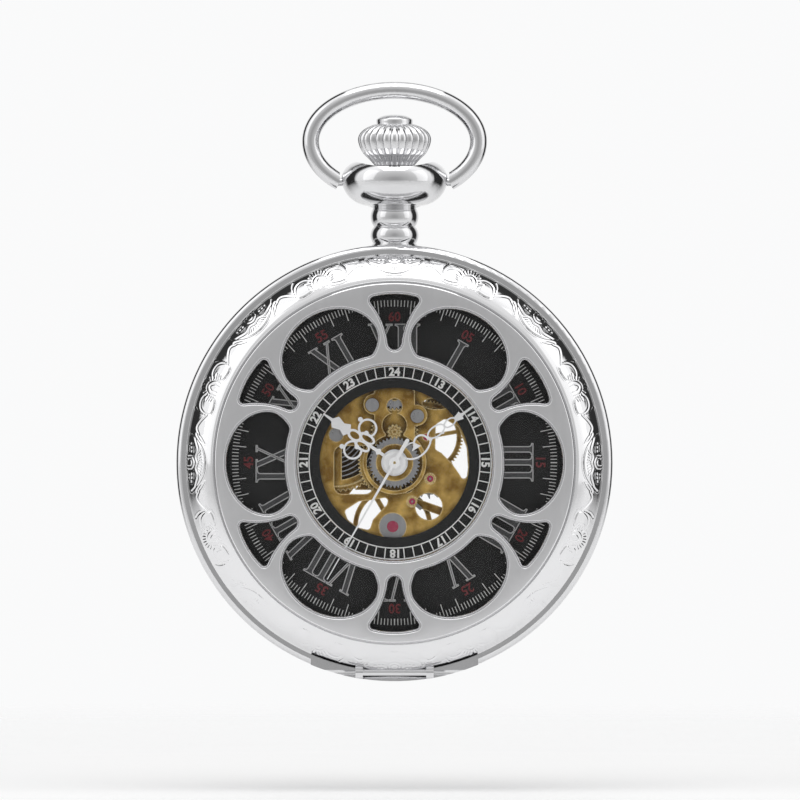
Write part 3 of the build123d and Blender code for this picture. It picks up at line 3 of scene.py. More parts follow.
import bmesh
import bpy
import numpy as np
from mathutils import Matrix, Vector


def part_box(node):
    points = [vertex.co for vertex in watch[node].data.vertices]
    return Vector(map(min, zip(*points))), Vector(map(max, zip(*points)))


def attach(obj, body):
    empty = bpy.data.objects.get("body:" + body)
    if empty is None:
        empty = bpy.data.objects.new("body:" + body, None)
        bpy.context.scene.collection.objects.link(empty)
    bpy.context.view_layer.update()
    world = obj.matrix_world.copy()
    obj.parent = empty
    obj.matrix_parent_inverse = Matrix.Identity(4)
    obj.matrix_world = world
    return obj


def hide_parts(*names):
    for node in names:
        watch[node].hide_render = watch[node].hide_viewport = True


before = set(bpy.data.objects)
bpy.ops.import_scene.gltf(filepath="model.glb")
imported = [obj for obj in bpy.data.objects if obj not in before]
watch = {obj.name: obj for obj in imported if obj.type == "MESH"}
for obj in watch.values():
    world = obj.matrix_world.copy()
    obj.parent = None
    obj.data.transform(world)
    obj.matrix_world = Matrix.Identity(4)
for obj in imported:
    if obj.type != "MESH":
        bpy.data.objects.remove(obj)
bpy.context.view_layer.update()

# ------------------------------------------------------------------ case
# The case middle, back ring, bezel and hinge block are turned stainless steel, pressed
# together and buffed to a mirror. Handling leaves fine hairlines in the polish.
MM = 0.001


class Wire:
    """A socket in a material's nodes. Arithmetic on it adds the Math nodes."""

    def __init__(self, tree, socket=None):
        self.tree = tree
        self.socket = socket

    def node(self, kind, settings=None, inputs=None, output=0):
        made = self.tree.nodes.new(kind)
        for name, value in (settings or {}).items():
            if name == "stops":
                ramp = made.color_ramp.elements
                while len(ramp) < len(value):
                    ramp.new(1.0)
                for stop, (place, colour) in zip(ramp, value):
                    stop.position = place
                    stop.color = (*colour, 1.0)
            else:
                setattr(made, name, value)
        for name, value in (inputs or {}).items():
            if isinstance(value, Wire):
                self.tree.links.new(value.socket, made.inputs[name])
            else:
                made.inputs[name].default_value = value
        return Wire(self.tree, made.outputs[output])

    def math(self, operation, first, second=0.0):
        return self.node("ShaderNodeMath", {"operation": operation}, {0: first, 1: second})

    def __add__(self, other):
        return self.math("ADD", self, other)

    def __sub__(self, other):
        return self.math("SUBTRACT", self, other)

    def __rsub__(self, other):
        return self.math("SUBTRACT", other, self)

    def __mul__(self, other):
        return self.math("MULTIPLY", self, other)

    __radd__ = __add__
    __rmul__ = __mul__

    def grain(self, scale, detail=3.0, stretch=(1.0, 1.0, 1.0)):
        """Noise fixed to the piece, with its features 1/scale metres across."""
        place = self.node("ShaderNodeTexCoord", output="Object")
        place = self.node("ShaderNodeMapping", None, {"Vector": place, "Scale": stretch})
        return self.node("ShaderNodeTexNoise", None, {"Vector": place, "Scale": scale, "Detail": detail})

    def mix(self, amount, first, second):
        colours = {"Factor": amount, 6: first, 7: second}
        return self.node("ShaderNodeMix", {"data_type": "RGBA"}, colours, 2)

    def bump(self, height, depth, normal=None):
        """Raises the surface by height times depth metres."""
        inputs = {"Height": height, "Distance": depth, "Strength": 1.0}
        if normal:
            inputs["Normal"] = normal
        return self.node("ShaderNodeBump", None, inputs)


def finish(name, **fixed):
    """A new material: its name, its shader with these fixed values, and a wire to start from."""
    made = bpy.data.materials.new(name)
    made.use_nodes = True
    shader = made.node_tree.nodes["Principled BSDF"]
    for socket, value in fixed.items():
        shader.inputs[socket.replace("_", " ")].default_value = value
    return made, shader, Wire(made.node_tree)


def feed(shader, **varied):
    for socket, wire in varied.items():
        shader.id_data.links.new(wire.socket, shader.inputs[socket.replace("_", " ")])


def dress(made, *names):
    for name in names:
        for place in watch[name].material_slots:
            place.material = made


mirror_steel, shader, wire = finish("mirror_steel", Metallic=1.0)
smear = wire.grain(260.0, 4.0)
hairline = wire.grain(900.0, 2.0, (1.0, 14.0, 1.0))
steel_colour = wire.mix(smear, (0.69, 0.69, 0.70, 1.0), (0.80, 0.80, 0.81, 1.0))
feed(
    shader,
    Base_Color=steel_colour,
    Roughness=0.05 + 0.07 * smear + 0.03 * hairline,
    Normal=wire.bump(hairline, 0.0000012),
)
dress(mirror_steel, "case_middle", "back_ring", "hinge_block", "hinge_pin", "cover_catch")
dress(mirror_steel, "pendant", "bow", "bow_pins", "front_bezel", "winding_stem", "lift_spring")

# ------------------------------------------------------------------ cover plate
# The hunter cover's flat front is blanked from sheet, pierced with six petal and six fan
# windows round the middle one, satin finished, and each edge is rolled over and polished.
PLATE_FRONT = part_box("front_cover")[0].y
PLATE_THICK = 1.0 * MM
PLATE_EDGE_R = 19.12 * MM


def flat_outlines(node, level):
    """The closed outlines of a node's flat faces at that y, each an array of x and z."""
    mesh = watch[node].data
    edges = {}
    places = {}
    for face in mesh.polygons:
        ring = [mesh.vertices[index].co for index in face.vertices]
        if all(abs(point.y - level) < 2e-6 for point in ring):
            keys = [(round(point.x * 1e7), round(point.z * 1e7)) for point in ring]
            places.update(zip(keys, [(point.x, point.z) for point in ring]))
            for start, end in zip(keys, keys[1:] + keys[:1]):
                if edges.get(end) and start in edges[end]:
                    edges[end].remove(start)
                else:
                    edges.setdefault(start, []).append(end)
    outlines = []
    while any(edges.values()):
        start = next(key for key, ends in edges.items() if ends)
        chain = [start]
        while edges.get(chain[-1]):
            chain.append(edges[chain[-1]].pop())
        outlines.append(np.array([places[key] for key in chain[:-1]]))
    return outlines


def even_loop(points, step, soften):
    """A closed line respaced to even steps and rounded over a length of about soften."""
    closed = np.vstack([points, points[:1]])
    run = np.concatenate([[0.0], np.cumsum(np.hypot(*np.diff(closed, axis=0).T))])
    count = int(round(run[-1] / step))
    where = np.linspace(0.0, run[-1], count, endpoint=False)
    even = np.column_stack([np.interp(where, run, closed[:, axis]) for axis in (0, 1)])
    offsets = np.fft.fftfreq(count, 1.0 / count) * run[-1] / count
    weight = np.exp(-0.5 * (offsets / soften) ** 2)
    weight = np.fft.fft(weight / weight.sum())
    return np.column_stack([np.fft.ifft(np.fft.fft(even[:, axis]) * weight).real for axis in (0, 1)])


def away_from_middle(loop):
    """Unit vectors square to a closed line, pointing out of it."""
    ahead = np.roll(loop, -1, axis=0) - np.roll(loop, 1, axis=0)
    normal = np.column_stack([ahead[:, 1], -ahead[:, 0]])
    normal /= np.linalg.norm(normal, axis=1)[:, None]
    area = np.sum(loop[:, 0] * np.roll(loop[:, 1], -1) - loop[:, 1] * np.roll(loop[:, 0], -1))
    return normal if area > 0 else -normal


def ring_loop(radius, count):
    turn = np.linspace(0.0, 2.0 * math.pi, count, endpoint=False)
    return radius * np.column_stack([np.sin(turn), np.cos(turn)])


def solid_piece(name, points, faces, made, sharp=35.0):
    mesh = bpy.data.meshes.new(name)
    mesh.from_pydata([tuple(point) for point in points], [], [tuple(face) for face in faces])
    mesh.validate()
    shell = bmesh.new()
    shell.from_mesh(mesh)
    bmesh.ops.remove_doubles(shell, verts=shell.verts, dist=1e-7)
    bmesh.ops.recalc_face_normals(shell, faces=shell.faces)
    shell.to_mesh(mesh)
    shell.free()
    mesh.polygons.foreach_set("use_smooth", [True] * len(mesh.polygons))
    mesh.set_sharp_from_angle(angle=math.radians(sharp))
    mesh.materials.append(made)
    piece = bpy.data.objects.new(name, mesh)
    bpy.context.scene.collection.objects.link(piece)
    return piece


class Shell:
    """Points and faces gathered ring by ring."""

    def __init__(self):
        self.points = []
        self.faces = []

    def ring(self, loop, level):
        start = len(self.points)
        levels = np.broadcast_to(level, len(loop))
        self.points += [(x, y, z) for (x, z), y in zip(loop, levels)]
        return list(range(start, len(self.points)))

    def join(self, one, other):
        for a, b, c, d in zip(one, one[1:] + one[:1], other[1:] + other[:1], other):
            self.faces.append((a, b, c, d))

    def sheet(self, rings):
        """Fills the flat sheet between rings of points."""
        flat = bmesh.new()
        corners = {}
        for ring in rings:
            made = [flat.verts.new(self.points[index]) for index in ring]
            corners.update(zip(made, ring))
            for a, b in zip(made, made[1:] + made[:1]):
                flat.edges.new((a, b))
        filled = bmesh.ops.triangle_fill(flat, use_beauty=True, edges=flat.edges)["geom"]
        for face in filled:
            if isinstance(face, bmesh.types.BMFace):
                self.faces.append([corners[corner] for corner in face.verts])
        flat.free()


# How far in from a window's edge, and how far below the plate, in mm: wall, roll, groove.
ROLLED_EDGE = [
    (0.0, 0.34), (0.01, 0.24), (0.035, 0.15), (0.075, 0.075), (0.12, 0.03), (0.165, 0.03),
    (0.205, 0.07), (0.235, 0.15), (0.25, 0.22), (0.30, 0.22), (0.325, 0.03), (0.36, 0.0),
]

outlines = flat_outlines("front_cover", PLATE_FRONT)
windows = sorted(outlines, key=lambda line: np.ptp(line[:, 0]))[:-1]
plate = Shell()
front_rings = []
back_rings = []
for window in windows:
    loop = even_loop(window, 0.09 * MM, 0.12 * MM)
    outward = away_from_middle(loop)
    last = plate.ring(loop, PLATE_FRONT + PLATE_THICK)
    back_rings.append(last)
    for inset, drop in ROLLED_EDGE:
        fresh = plate.ring(loop + outward * inset * MM, PLATE_FRONT + drop * MM)
        plate.join(last, fresh)
        last = fresh
    front_rings.append(last)

# ------------------------------------------------------------------ engraved band
# The same sheet is spun down round the flat front into a mirror-polished shoulder, and a
# rolling die presses the band of palmettes, half rosettes and tendrils into it.
TURNS = 1920  # points round the band
MOTIFS = 8
BAND_LENGTH_R = 21.3  # mm, where a repeat is measured
LINE_W = 0.06
GROOVE_DEPTH = 0.05
LIP_OUT = 0.15
LIP_HEIGHT = 0.012

palmette = [
    [
        (-2.87, 20.39), (-2.92, 20.97), (-2.68, 21.45), (-2.27, 21.74), (-1.67, 21.81), (-1.2, 21.66),
        (-1.0, 21.35),
    ],
    [(-2.87, 20.39), (-2.27, 20.28), (-1.43, 20.36), (-1.1, 20.6), (-1.25, 20.95)],
    [
        (-0.74, 20.55), (-0.78, 21.2), (-0.45, 21.64), (0.0, 21.78), (0.45, 21.64), (0.78, 21.2),
        (0.74, 20.55),
    ],
    [(-0.33, 20.55), (-0.36, 21.1), (0.0, 21.45), (0.36, 21.1), (0.33, 20.55)],
]
palmette += [[(-u, v) for u, v in line] for line in palmette[:2]]
for step in range(-5, 6):
    lean = math.radians(15.0 * step)
    palmette.append([(reach * math.sin(lean), 20.95 + reach * math.cos(lean)) for reach in (0.98, 1.24)])
for side in (-1, 1):
    for low in (20.75, 20.98, 21.2):
        palmette.append([(side * 1.0, low), (side * 1.5, low + 0.12)])
    palmette.append([(side * 3.1, 21.05), (side * 2.95, 21.7), (side * 2.6, 22.15)])
rosette = [
    [(-2.99, 22.0), (-2.27, 21.16), (-1.2, 20.49), (0.0, 20.28), (1.2, 20.49), (2.27, 21.16), (2.99, 22.0)],
    [(-2.6, 21.55), (-1.43, 21.12), (-0.6, 21.28), (0.0, 21.12), (0.6, 21.28), (1.43, 21.12), (2.6, 21.55)],
    [(-0.67, 22.25), (-0.67, 21.75), (0.0, 21.46), (0.67, 21.75), (0.67, 22.25)],
    [(-0.36, 22.25), (-0.36, 21.9), (0.0, 21.74), (0.36, 21.9), (0.36, 22.25)],
]
for step in range(-4, 5):
    rosette.append([(0.26 * step, 21.02 + 0.02 * abs(step)), (0.33 * step, 20.72 + 0.05 * abs(step))])
for side in (-1, 1):
    for u, v in ((1.25, 22.1), (1.6, 22.12), (1.15, 21.8), (1.55, 21.82), (1.95, 21.9)):
        rosette.append([(side * u, v), (side * (u + 0.12), v)])
    leaf = [(2.15, 20.5), (2.35, 20.95), (3.1, 21.48), (2.8, 20.98), (2.15, 20.5)]
    rosette.append([(side * u, v) for u, v in leaf])
    rosette.append([(side * 3.1, 21.2), (side * 3.7, 21.52), (side * 4.35, 21.33), (side * 5.3, 20.75)])


def smooth_line(points, step=0.03):
    """A smooth line through points, as close-set points."""
    points = np.array(points, float)
    if len(points) > 2:
        ends = np.vstack([2 * points[0] - points[1], points, 2 * points[-1] - points[-2]])
        spans = []
        for a, b, c, d in zip(ends, ends[1:], ends[2:], ends[3:]):
            t = np.linspace(0, 1, 12, endpoint=False)[:, None]
            curve = 2 * b + (c - a) * t + (2 * a - 5 * b + 4 * c - d) * t**2 + (3 * b - a - 3 * c + d) * t**3
            spans.append(0.5 * curve)
        points = np.vstack(spans + [points[-1:]])
    run = np.concatenate([[0.0], np.cumsum(np.hypot(*np.diff(points, axis=0).T))])
    where = np.linspace(0.0, run[-1], max(2, int(run[-1] / step)))
    return np.column_stack([np.interp(where, run, points[:, axis]) for axis in (0, 1)])


def engraved_depth(across, radii):
    """Depth in mm of the die's lines over one repeat, for circumference and radius in mm."""
    repeat = 2.0 * math.pi * BAND_LENGTH_R / MOTIFS
    inked = [smooth_line(line) for line in rosette]
    inked += [smooth_line(line) + (repeat / 2, 0) for line in palmette]
    inked = np.vstack(inked)
    inked = np.vstack([inked, inked - (repeat, 0), inked + (repeat, 0)])
    nearest = np.full((len(radii), len(across)), 9.0)
    for row, radius in enumerate(radii):
        near = inked[np.abs(inked[:, 1] - radius) < 0.45]
        if len(near):
            gap = np.hypot(across[:, None] - near[None, :, 0], radius - near[None, :, 1])
            nearest[row] = gap.min(axis=1)
    groove = np.exp(-((nearest / LINE_W) ** 2))
    lip = np.exp(-(((nearest - LIP_OUT) / LINE_W) ** 2))
    return GROOVE_DEPTH * groove - LIP_HEIGHT * lip + LIP_HEIGHT


# The shoulder's arc goes through these three points, each a radius and a height in mm.
shoulder = np.array([(22.45, 10.7), (21.45, 12.35), (19.55, 13.6)])
ax, ay, bx, by, cx, cy = shoulder.ravel()
spread = 2 * (ax * (by - cy) + bx * (cy - ay) + cx * (ay - by))
centre_r = ((ax**2 + ay**2) * (by - cy) + (bx**2 + by**2) * (cy - ay) + (cx**2 + cy**2) * (ay - by)) / spread
centre_h = ((ax**2 + ay**2) * (cx - bx) + (bx**2 + by**2) * (ax - cx) + (cx**2 + cy**2) * (bx - ax)) / spread
arc_r = math.hypot(ax - centre_r, ay - centre_h)
first = math.atan2(cy - centre_h, cx - centre_r)
last_lean = math.atan2(ay - centre_h, ax - centre_r)
leans = np.linspace(first, last_lean, 74)
arc_radius = centre_r + arc_r * np.cos(leans)

repeat_columns = TURNS // MOTIFS
across = np.linspace(0.0, 2 * math.pi * BAND_LENGTH_R / MOTIFS, repeat_columns, endpoint=False)
depth = np.tile(engraved_depth(across, arc_radius), (1, MOTIFS))
fade = np.clip((arc_radius - 19.75) / 0.3, 0, 1) * np.clip((22.42 - arc_radius) / 0.1, 0, 1)
depth = depth * fade[:, None]

last = plate.ring(ring_loop(PLATE_EDGE_R, TURNS), PLATE_FRONT)
front_rings.append(last)
for radius, drop in ((19.2, 0.02), (19.27, 0.1), (19.33, 0.3), (19.4, 0.42), (19.47, 0.42)):
    fresh = plate.ring(ring_loop(radius * MM, TURNS), PLATE_FRONT + drop * MM)
    plate.join(last, fresh)
    last = fresh
for lean, radius, row in zip(leans, arc_radius, depth):
    reach = (radius - row * math.cos(lean)) * MM
    height = (centre_h + arc_r * math.sin(lean) - row * math.sin(lean)) * MM
    loop = ring_loop(1.0, TURNS) * reach[:, None]
    fresh = plate.ring(loop, -height)
    plate.join(last, fresh)
    last = fresh
# The cover's skirt, seam and inner face, from outside in: radius and height in mm.
SKIRT_AND_BACK = [
    (22.45, 10.4), (22.45, 10.16), (22.36, 10.06), (21.8, 10.05), (21.7, 10.15), (21.7, 10.7),
    (21.35, 11.45), (20.85, 11.95), (20.0, 12.55), (19.0, 12.9),
]
for radius, height in SKIRT_AND_BACK:
    fresh = plate.ring(ring_loop(radius * MM, TURNS), -height * MM)
    plate.join(last, fresh)
    last = fresh
back_rings.append(last)
plate.sheet(front_rings)
plate.sheet(back_rings)

cover_steel, shader, wire = finish("cover_steel", Metallic=1.0)
smear = wire.grain(240.0, 4.0)
brushing = wire.grain(2600.0, 2.0, (1.0, 1.0, 0.06))
place = wire.node("ShaderNodeTexCoord", output="Object")
length = wire.node("ShaderNodeVectorMath", {"operation": "LENGTH"}, {0: wire.node(
    "ShaderNodeVectorMath", {"operation": "MULTIPLY"}, {0: place, 1: (1000.0, 0.0, 1000.0)})}, 1)
height = wire.node("ShaderNodeSeparateXYZ", None, {0: place}, 1) * -1000.0
SATIN_ABOVE = 13.885
SATIN_R = 19.3
on_plate = wire.math("GREATER_THAN", height, SATIN_ABOVE) * wire.math("LESS_THAN", length, SATIN_R)
feed(
    shader,
    Base_Color=wire.mix(on_plate * 0.75, (0.83, 0.83, 0.84, 1.0), (0.62, 0.62, 0.63, 1.0)),
    Roughness=0.06 + 0.05 * smear + on_plate * (0.22 + 0.12 * brushing),
    Normal=wire.bump(on_plate * brushing, 0.0000015),
)
cover_shell = solid_piece("cover_shell", plate.points, plate.faces, cover_steel)
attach(cover_shell, "cover")
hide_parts("front_cover")

# ------------------------------------------------------------------ crown
# The onion crown is turned from steel bar with a rounded flute cut down each rib, capped
# with a polished button, and screwed on the winding stem.
crown_low, crown_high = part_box("crown")
CROWN_RIBS = 26
POINTS_PER_RIB = 14
FLUTE_DEPTH = 0.24
# Radius and height in mm, and how much of the flutes' full depth is cut there.
crown_profile = [
    (0.9, 32.0, 0.0), (2.0, 32.0, 0.0), (2.2, 32.1, 0.4), (2.45, 32.4, 0.9), (2.95, 32.9, 1.0),
    (3.4, 33.35, 1.0), (3.75, 33.95, 1.0), (3.95, 34.55, 1.0), (3.98, 35.0, 1.0), (3.85, 35.4, 1.0),
    (3.55, 35.8, 1.0), (3.1, 36.13, 1.0), (2.6, 36.38, 0.9), (2.2, 36.52, 0.5), (2.05, 36.5, 0.0),
    (1.96, 36.55, 0.0), (1.98, 36.9, 0.0), (1.95, 37.05, 0.0), (1.8, 37.2, 0.0), (1.4, 37.42, 0.0),
    (0.8, 37.56, 0.0), (0.2, 37.6, 0.0),
]
profile = smooth_line([(r, z) for r, z, _ in crown_profile], 0.09)
cut = np.interp(profile[:, 1], [z for _, z, _ in crown_profile], [c for _, _, c in crown_profile])
crown_steps = CROWN_RIBS * POINTS_PER_RIB
turn = np.linspace(0.0, 2.0 * math.pi, crown_steps, endpoint=False)
rib = np.abs(np.cos(turn * CROWN_RIBS / 2)) ** 0.8
head = Shell()
middle_x = (crown_low.x + crown_high.x) / 2
middle_y = (crown_low.y + crown_high.y) / 2
rings = []
for (radius, level), amount in zip(profile, cut):
    reach = radius - FLUTE_DEPTH * amount * (1.0 - rib) * min(1.0, radius / 3.0)
    start = len(head.points)
    head.points += [
        (middle_x + r * MM * math.sin(t), middle_y + r * MM * math.cos(t), level * MM)
        for r, t in zip(reach, turn)
    ]
    rings.append(list(range(start, len(head.points))))
for one, other in zip(rings, rings[1:]):
    head.join(one, other)
head.faces.append(rings[0][::-1])
head.faces.append(rings[-1])
crown_head = solid_piece("crown_head", head.points, head.faces, mirror_steel, 50.0)
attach(crown_head, "crown")
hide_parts("crown")

# ------------------------------------------------------------------ glasses and seals
# Flat mineral crystals, cut and polished, pressed into the bezel and the back ring; a
# black rubber ring seals the back.
mineral, shader, wire = finish("mineral_crystal", IOR=1.45, Specular_IOR_Level=0.25)
mineral.blend_method = "BLEND"
feed(
    shader,
    Base_Color=wire.mix(wire.grain(60.0), (0.94, 0.97, 0.98, 1.0), (0.98, 0.99, 1.0, 1.0)),
    Roughness=0.01 + 0.02 * wire.grain(300.0),
    Alpha=0.006 + 0.004 * wire.grain(90.0),
)
dress(mineral, "front_glass", "back_glass")
rubber, shader, wire = finish("seal_rubber", Specular_IOR_Level=0.3)
pebble = wire.grain(5000.0, 3.0)
feed(
    shader,
    Base_Color=wire.mix(pebble, (0.012, 0.012, 0.013, 1.0), (0.03, 0.03, 0.031, 1.0)),
    Roughness=0.55 + 0.2 * pebble,
    Normal=wire.bump(pebble, 0.000004),
)
dress(rubber, "back_gasket")

# ------------------------------------------------------------------ movement
# Plates, bridges and wheels are stamped brass, gilded to a matt skin; edges and ring
# borders are bevelled, and the gilt's colour gets a painted highlight along edges and
# painted shade in recesses. Steel parts are hardened and ground.
gilt, shader, wire = finish("matt_gilt", Metallic=1.0)
frost = wire.grain(4200.0, 4.0)
patch = wire.node("ShaderNodeMapRange", None, {0: wire.grain(620.0, 4.0), 1: 0.36, 2: 0.66, 3: 0.0, 4: 1.0})
# Painted shade: ambient occlusion darkens the gilt's colour towards near black in recesses, corners and
# under other parts.
painted_recess_shade = wire.node("ShaderNodeAmbientOcclusion", {"samples": 8}, {"Distance": 1.1 * MM}, 1)
painted_recess_shade = wire.math("POWER", painted_recess_shade, 2.4)
# Painted highlight: where the bevel shader's rounded normal leans away from the face's normal, at edges and
# borders, the colour is painted bright yellow and the roughness is lowered.
rounded_normal = wire.node("ShaderNodeBevel", {"samples": 6}, {"Radius": 0.26 * MM})
facing = wire.node("ShaderNodeNewGeometry", output="Normal")
painted_edge_highlight = 1.0 - wire.node("ShaderNodeVectorMath", {"operation": "DOT_PRODUCT"}, {0: rounded_normal, 1: facing}, 1)
painted_edge_highlight = wire.node("ShaderNodeMapRange", None, {0: painted_edge_highlight, 1: 0.012, 2: 0.12, 3: 0.0, 4: 1.0})
matt = wire.mix(patch, (0.26, 0.145, 0.03, 1.0), (0.70, 0.46, 0.13, 1.0))
matt = wire.mix(painted_recess_shade, (0.035, 0.018, 0.004, 1.0), matt)
feed(
    shader,
    Base_Color=wire.mix(painted_edge_highlight, matt, (1.0, 0.80, 0.42, 1.0)),
    Roughness=0.3 + 0.2 * frost - 0.12 * painted_edge_highlight,
    Normal=wire.bump(frost, 0.000006),
)
dress(gilt, "main_plate", "barrel_bridge", "train_bridge", "balance_cock", "pallet_cock")
dress(gilt, "motion_works_plate", "centre_wheel", "third_wheel", "fourth_wheel", "barrel")
dress(gilt, "barrel_cover", "jewel_settings", "balance_wheel", "dial_washer", "minute_wheel")


def chamfer(width, *names):
    """Breaks the edges of stamped pieces by that many mm, so that they catch the light."""
    for name in names:
        weld = watch[name].modifiers.new("weld", "WELD")
        weld.merge_threshold = 0.0005 * MM
        edge = watch[name].modifiers.new("edge", "BEVEL")
        edge.width = width * MM
        edge.segments = 2
        edge.limit_method = "ANGLE"
        edge.angle_limit = math.radians(40)
        edge.harden_normals = True


chamfer(0.07, "main_plate", "motion_works_plate", "barrel_bridge", "train_bridge", "balance_cock")

steel, shader, wire = finish("ground_steel", Metallic=1.0)
grind = wire.grain(3000.0, 3.0, (1.0, 1.0, 0.15))
feed(
    shader,
    Base_Color=wire.mix(grind, (0.30, 0.30, 0.31, 1.0), (0.48, 0.48, 0.49, 1.0)),
    Roughness=0.22 + 0.15 * grind,
    Normal=wire.bump(grind, 0.000003),
)
dress(steel, "ratchet_wheel", "ratchet_screw", "crown_wheel", "crown_wheel_core", "click", "click_spring")
dress(steel, "winding_pinion", "clutch_wheel", "setting_wheel", "bridge_screws", "cover_plate_screws")
dress(steel, "clamp_screws", "movement_clamps", "barrel_arbor", "mainspring", "hairspring", "hour_wheel")
dress(steel, "cannon_pinion", "escape_wheel", "pallet_fork", "shock_setting")

ruby, shader, wire = finish("ruby", IOR=1.76, Coat_Weight=0.4)
feed(
    shader,
    Base_Color=wire.mix(wire.grain(2500.0), (0.30, 0.004, 0.045, 1.0), (0.55, 0.02, 0.10, 1.0)),
    Roughness=0.05 + 0.08 * wire.grain(3000.0),
)
dress(ruby, "plate_jewels", "bridge_jewels", "shock_jewel")

plastic, shader, wire = finish("holder_plastic", Specular_IOR_Level=0.4)
grain = wire.grain(3500.0, 3.0)
feed(
    shader,
    Base_Color=wire.mix(grain, (0.10, 0.10, 0.105, 1.0), (0.15, 0.15, 0.155, 1.0)),
    Roughness=0.42 + 0.15 * grain,
    Normal=wire.bump(grain, 0.000005),
)
dress(plastic, "movement_holder")

# ------------------------------------------------------------------ dial
# A brass blank lacquered gloss black and printed: minute track, outlined Roman hours,
# maroon minutes, and a white 24-hour ring round the opening over the movement.
lacquer, shader, wire = finish("black_lacquer", Specular_IOR_Level=0.2, Coat_Roughness=0.06)
speck = wire.grain(2500.0, 3.0)
feed(
    shader,
    Base_Color=wire.mix(speck, (0.006, 0.006, 0.006, 1.0), (0.014, 0.014, 0.014, 1.0)),
    Roughness=0.25 + 0.1 * speck,
    Coat_Weight=0.08 + 0.05 * speck,
)
dress(lacquer, "dial")
DIAL_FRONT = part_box("dial")[0].y
INK = 0.012 * MM


def ink(name, pale, deep):
    made, shader, wire = finish(name, Specular_IOR_Level=0.3)
    fibre = wire.grain(6000.0, 2.0)
    feed(shader, Base_Color=wire.mix(fibre, (*pale, 1.0), (*deep, 1.0)), Roughness=0.45 + 0.15 * fibre)
    return made


class Print:
    """One colour of ink: flat shapes a hair above the dial."""

    def __init__(self, lift):
        self.level = DIAL_FRONT - lift
        self.points = []
        self.faces = []

    def add(self, points, faces):
        start = len(self.points)
        self.points += [(x * MM, self.level, z * MM) for x, z in points]
        self.faces += [[start + index for index in face] for face in faces]

    def bar(self, inner, outer, degrees, width):
        """A bar along the radius at that angle clockwise from 12."""
        turn = math.radians(degrees)
        along = np.array([math.sin(turn), math.cos(turn)])
        side = np.array([math.cos(turn), -math.sin(turn)]) * width / 2
        corners = [along * inner - side, along * inner + side, along * outer + side, along * outer - side]
        self.add(corners, [(0, 1, 2, 3)])

    def circle(self, radius, width, count=360):
        inner = ring_loop(radius - width / 2, count)
        outer = ring_loop(radius + width / 2, count)
        faces = [(i, (i + 1) % count, count + (i + 1) % count, count + i) for i in range(count)]
        self.add(np.vstack([inner, outer]), faces)

    def text(self, word, radius, degrees, height, bold, squeeze=1.0):
        """A number centred at that radius with its top outward."""
        letters = bpy.data.curves.new(word, "FONT")
        letters.body = word
        letters.size = 1.0
        letters.offset = bold
        letters.resolution_u = 4
        holder = bpy.data.objects.new(word, letters)
        flat = bpy.data.meshes.new_from_object(holder)
        spots = np.array([point.co[:2] for point in flat.vertices])
        faces = [list(face.vertices) for face in flat.polygons]
        bpy.data.objects.remove(holder)
        spots -= (spots.min(axis=0) + spots.max(axis=0)) / 2
        spots *= height / np.ptp(spots[:, 1])
        spots[:, 0] *= squeeze
        turn = math.radians(degrees)
        x = spots[:, 0] * math.cos(turn) + (spots[:, 1] + radius) * math.sin(turn)
        z = -spots[:, 0] * math.sin(turn) + (spots[:, 1] + radius) * math.cos(turn)
        self.add(np.column_stack([x, z]), faces)

    def finish(self, name, made):
        piece = solid_piece(name, self.points, self.faces, made)
        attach(piece, "case")
        return piece


white = Print(INK)
white.circle(9.2, 0.12)
white.circle(10.4, 0.12)
for cell in range(60):
    if cell % 5:
        white.bar(9.2, 10.4, 6.0 * cell, 0.12)
for hour in range(12):
    white.text(str(hour + 12 if hour else 24), 9.8, 30.0 * hour, 0.95, 0.04, 0.98)
for tick in range(300):
    if tick % 25:
        white.bar(16.8 if tick % 5 else 16.05, 17.5, 1.2 * tick, 0.085)
    else:
        white.bar(16.8, 17.5, 1.2 * tick, 0.12)
white.finish("white_print", ink("white_ink", (0.76, 0.76, 0.75), (0.9, 0.9, 0.89)))
maroon = Print(INK)
for minute in range(5, 65, 5):
    maroon.text(f"{minute:02d}", 15.72, 6.0 * minute, 1.05, 0.02, 0.95)
maroon.finish("maroon_print", ink("maroon_ink", (0.14, 0.016, 0.02), (0.22, 0.03, 0.034)))

# Roman hours: outlined letters between two radii, drawn on a letter box 1 high.
HOUR_LOW = 10.95
HOUR_TALL = 3.95
SERIF = 0.035
OUTLINE_HALF = 0.055  # mm, half the width of a letter's outline


def upright(x, thick):
    """The outline of an I centred at x: a stem with a flat serif at each end."""
    half, foot = thick / 2, thick / 2 + 0.085
    side = [(foot, 0.0), (foot, SERIF), (half + 0.02, SERIF + 0.02), (half, SERIF + 0.07)]
    side += [(a, 1.0 - b) for a, b in reversed(side)]
    return [(x + a, b) for a, b in side] + [(x - a, b) for a, b in reversed(side)]


def slanted(x_low, x_high, thick, foot_low, foot_high):
    """The outline of a slanted stroke with serifs where asked."""
    half = thick / 2
    low = [(x_low + half, SERIF), (x_low + half + foot_low, SERIF), (x_low + half + foot_low, 0.0)]
    low += [(x_low - half - foot_low, 0.0), (x_low - half - foot_low, SERIF), (x_low - half, SERIF)]
    left, right = x_high - half, x_high + half
    high = [(left, 1 - SERIF), (left - foot_high, 1 - SERIF), (left - foot_high, 1.0)]
    high += [(right + foot_high, 1.0), (right + foot_high, 1 - SERIF), (right, 1 - SERIF)]
    return low + high


def letter_strokes(word):
    """The outlines of a Roman hour's strokes and its width, in letter heights."""
    strokes, x = [], 0.0
    for letter in word:
        if letter == "I":
            strokes.append(upright(x + 0.17, 0.15))
            x += 0.36
        elif letter == "V":
            strokes.append(slanted(x + 0.36, x + 0.14, 0.15, 0.0, 0.06))
            strokes.append(slanted(x + 0.38, x + 0.62, 0.05, 0.0, 0.06))
            x += 0.74
        else:
            strokes.append(slanted(x + 0.56, x + 0.14, 0.15, 0.06, 0.06))
            strokes.append(slanted(x + 0.14, x + 0.58, 0.05, 0.06, 0.06))
            x += 0.74
    return strokes, x


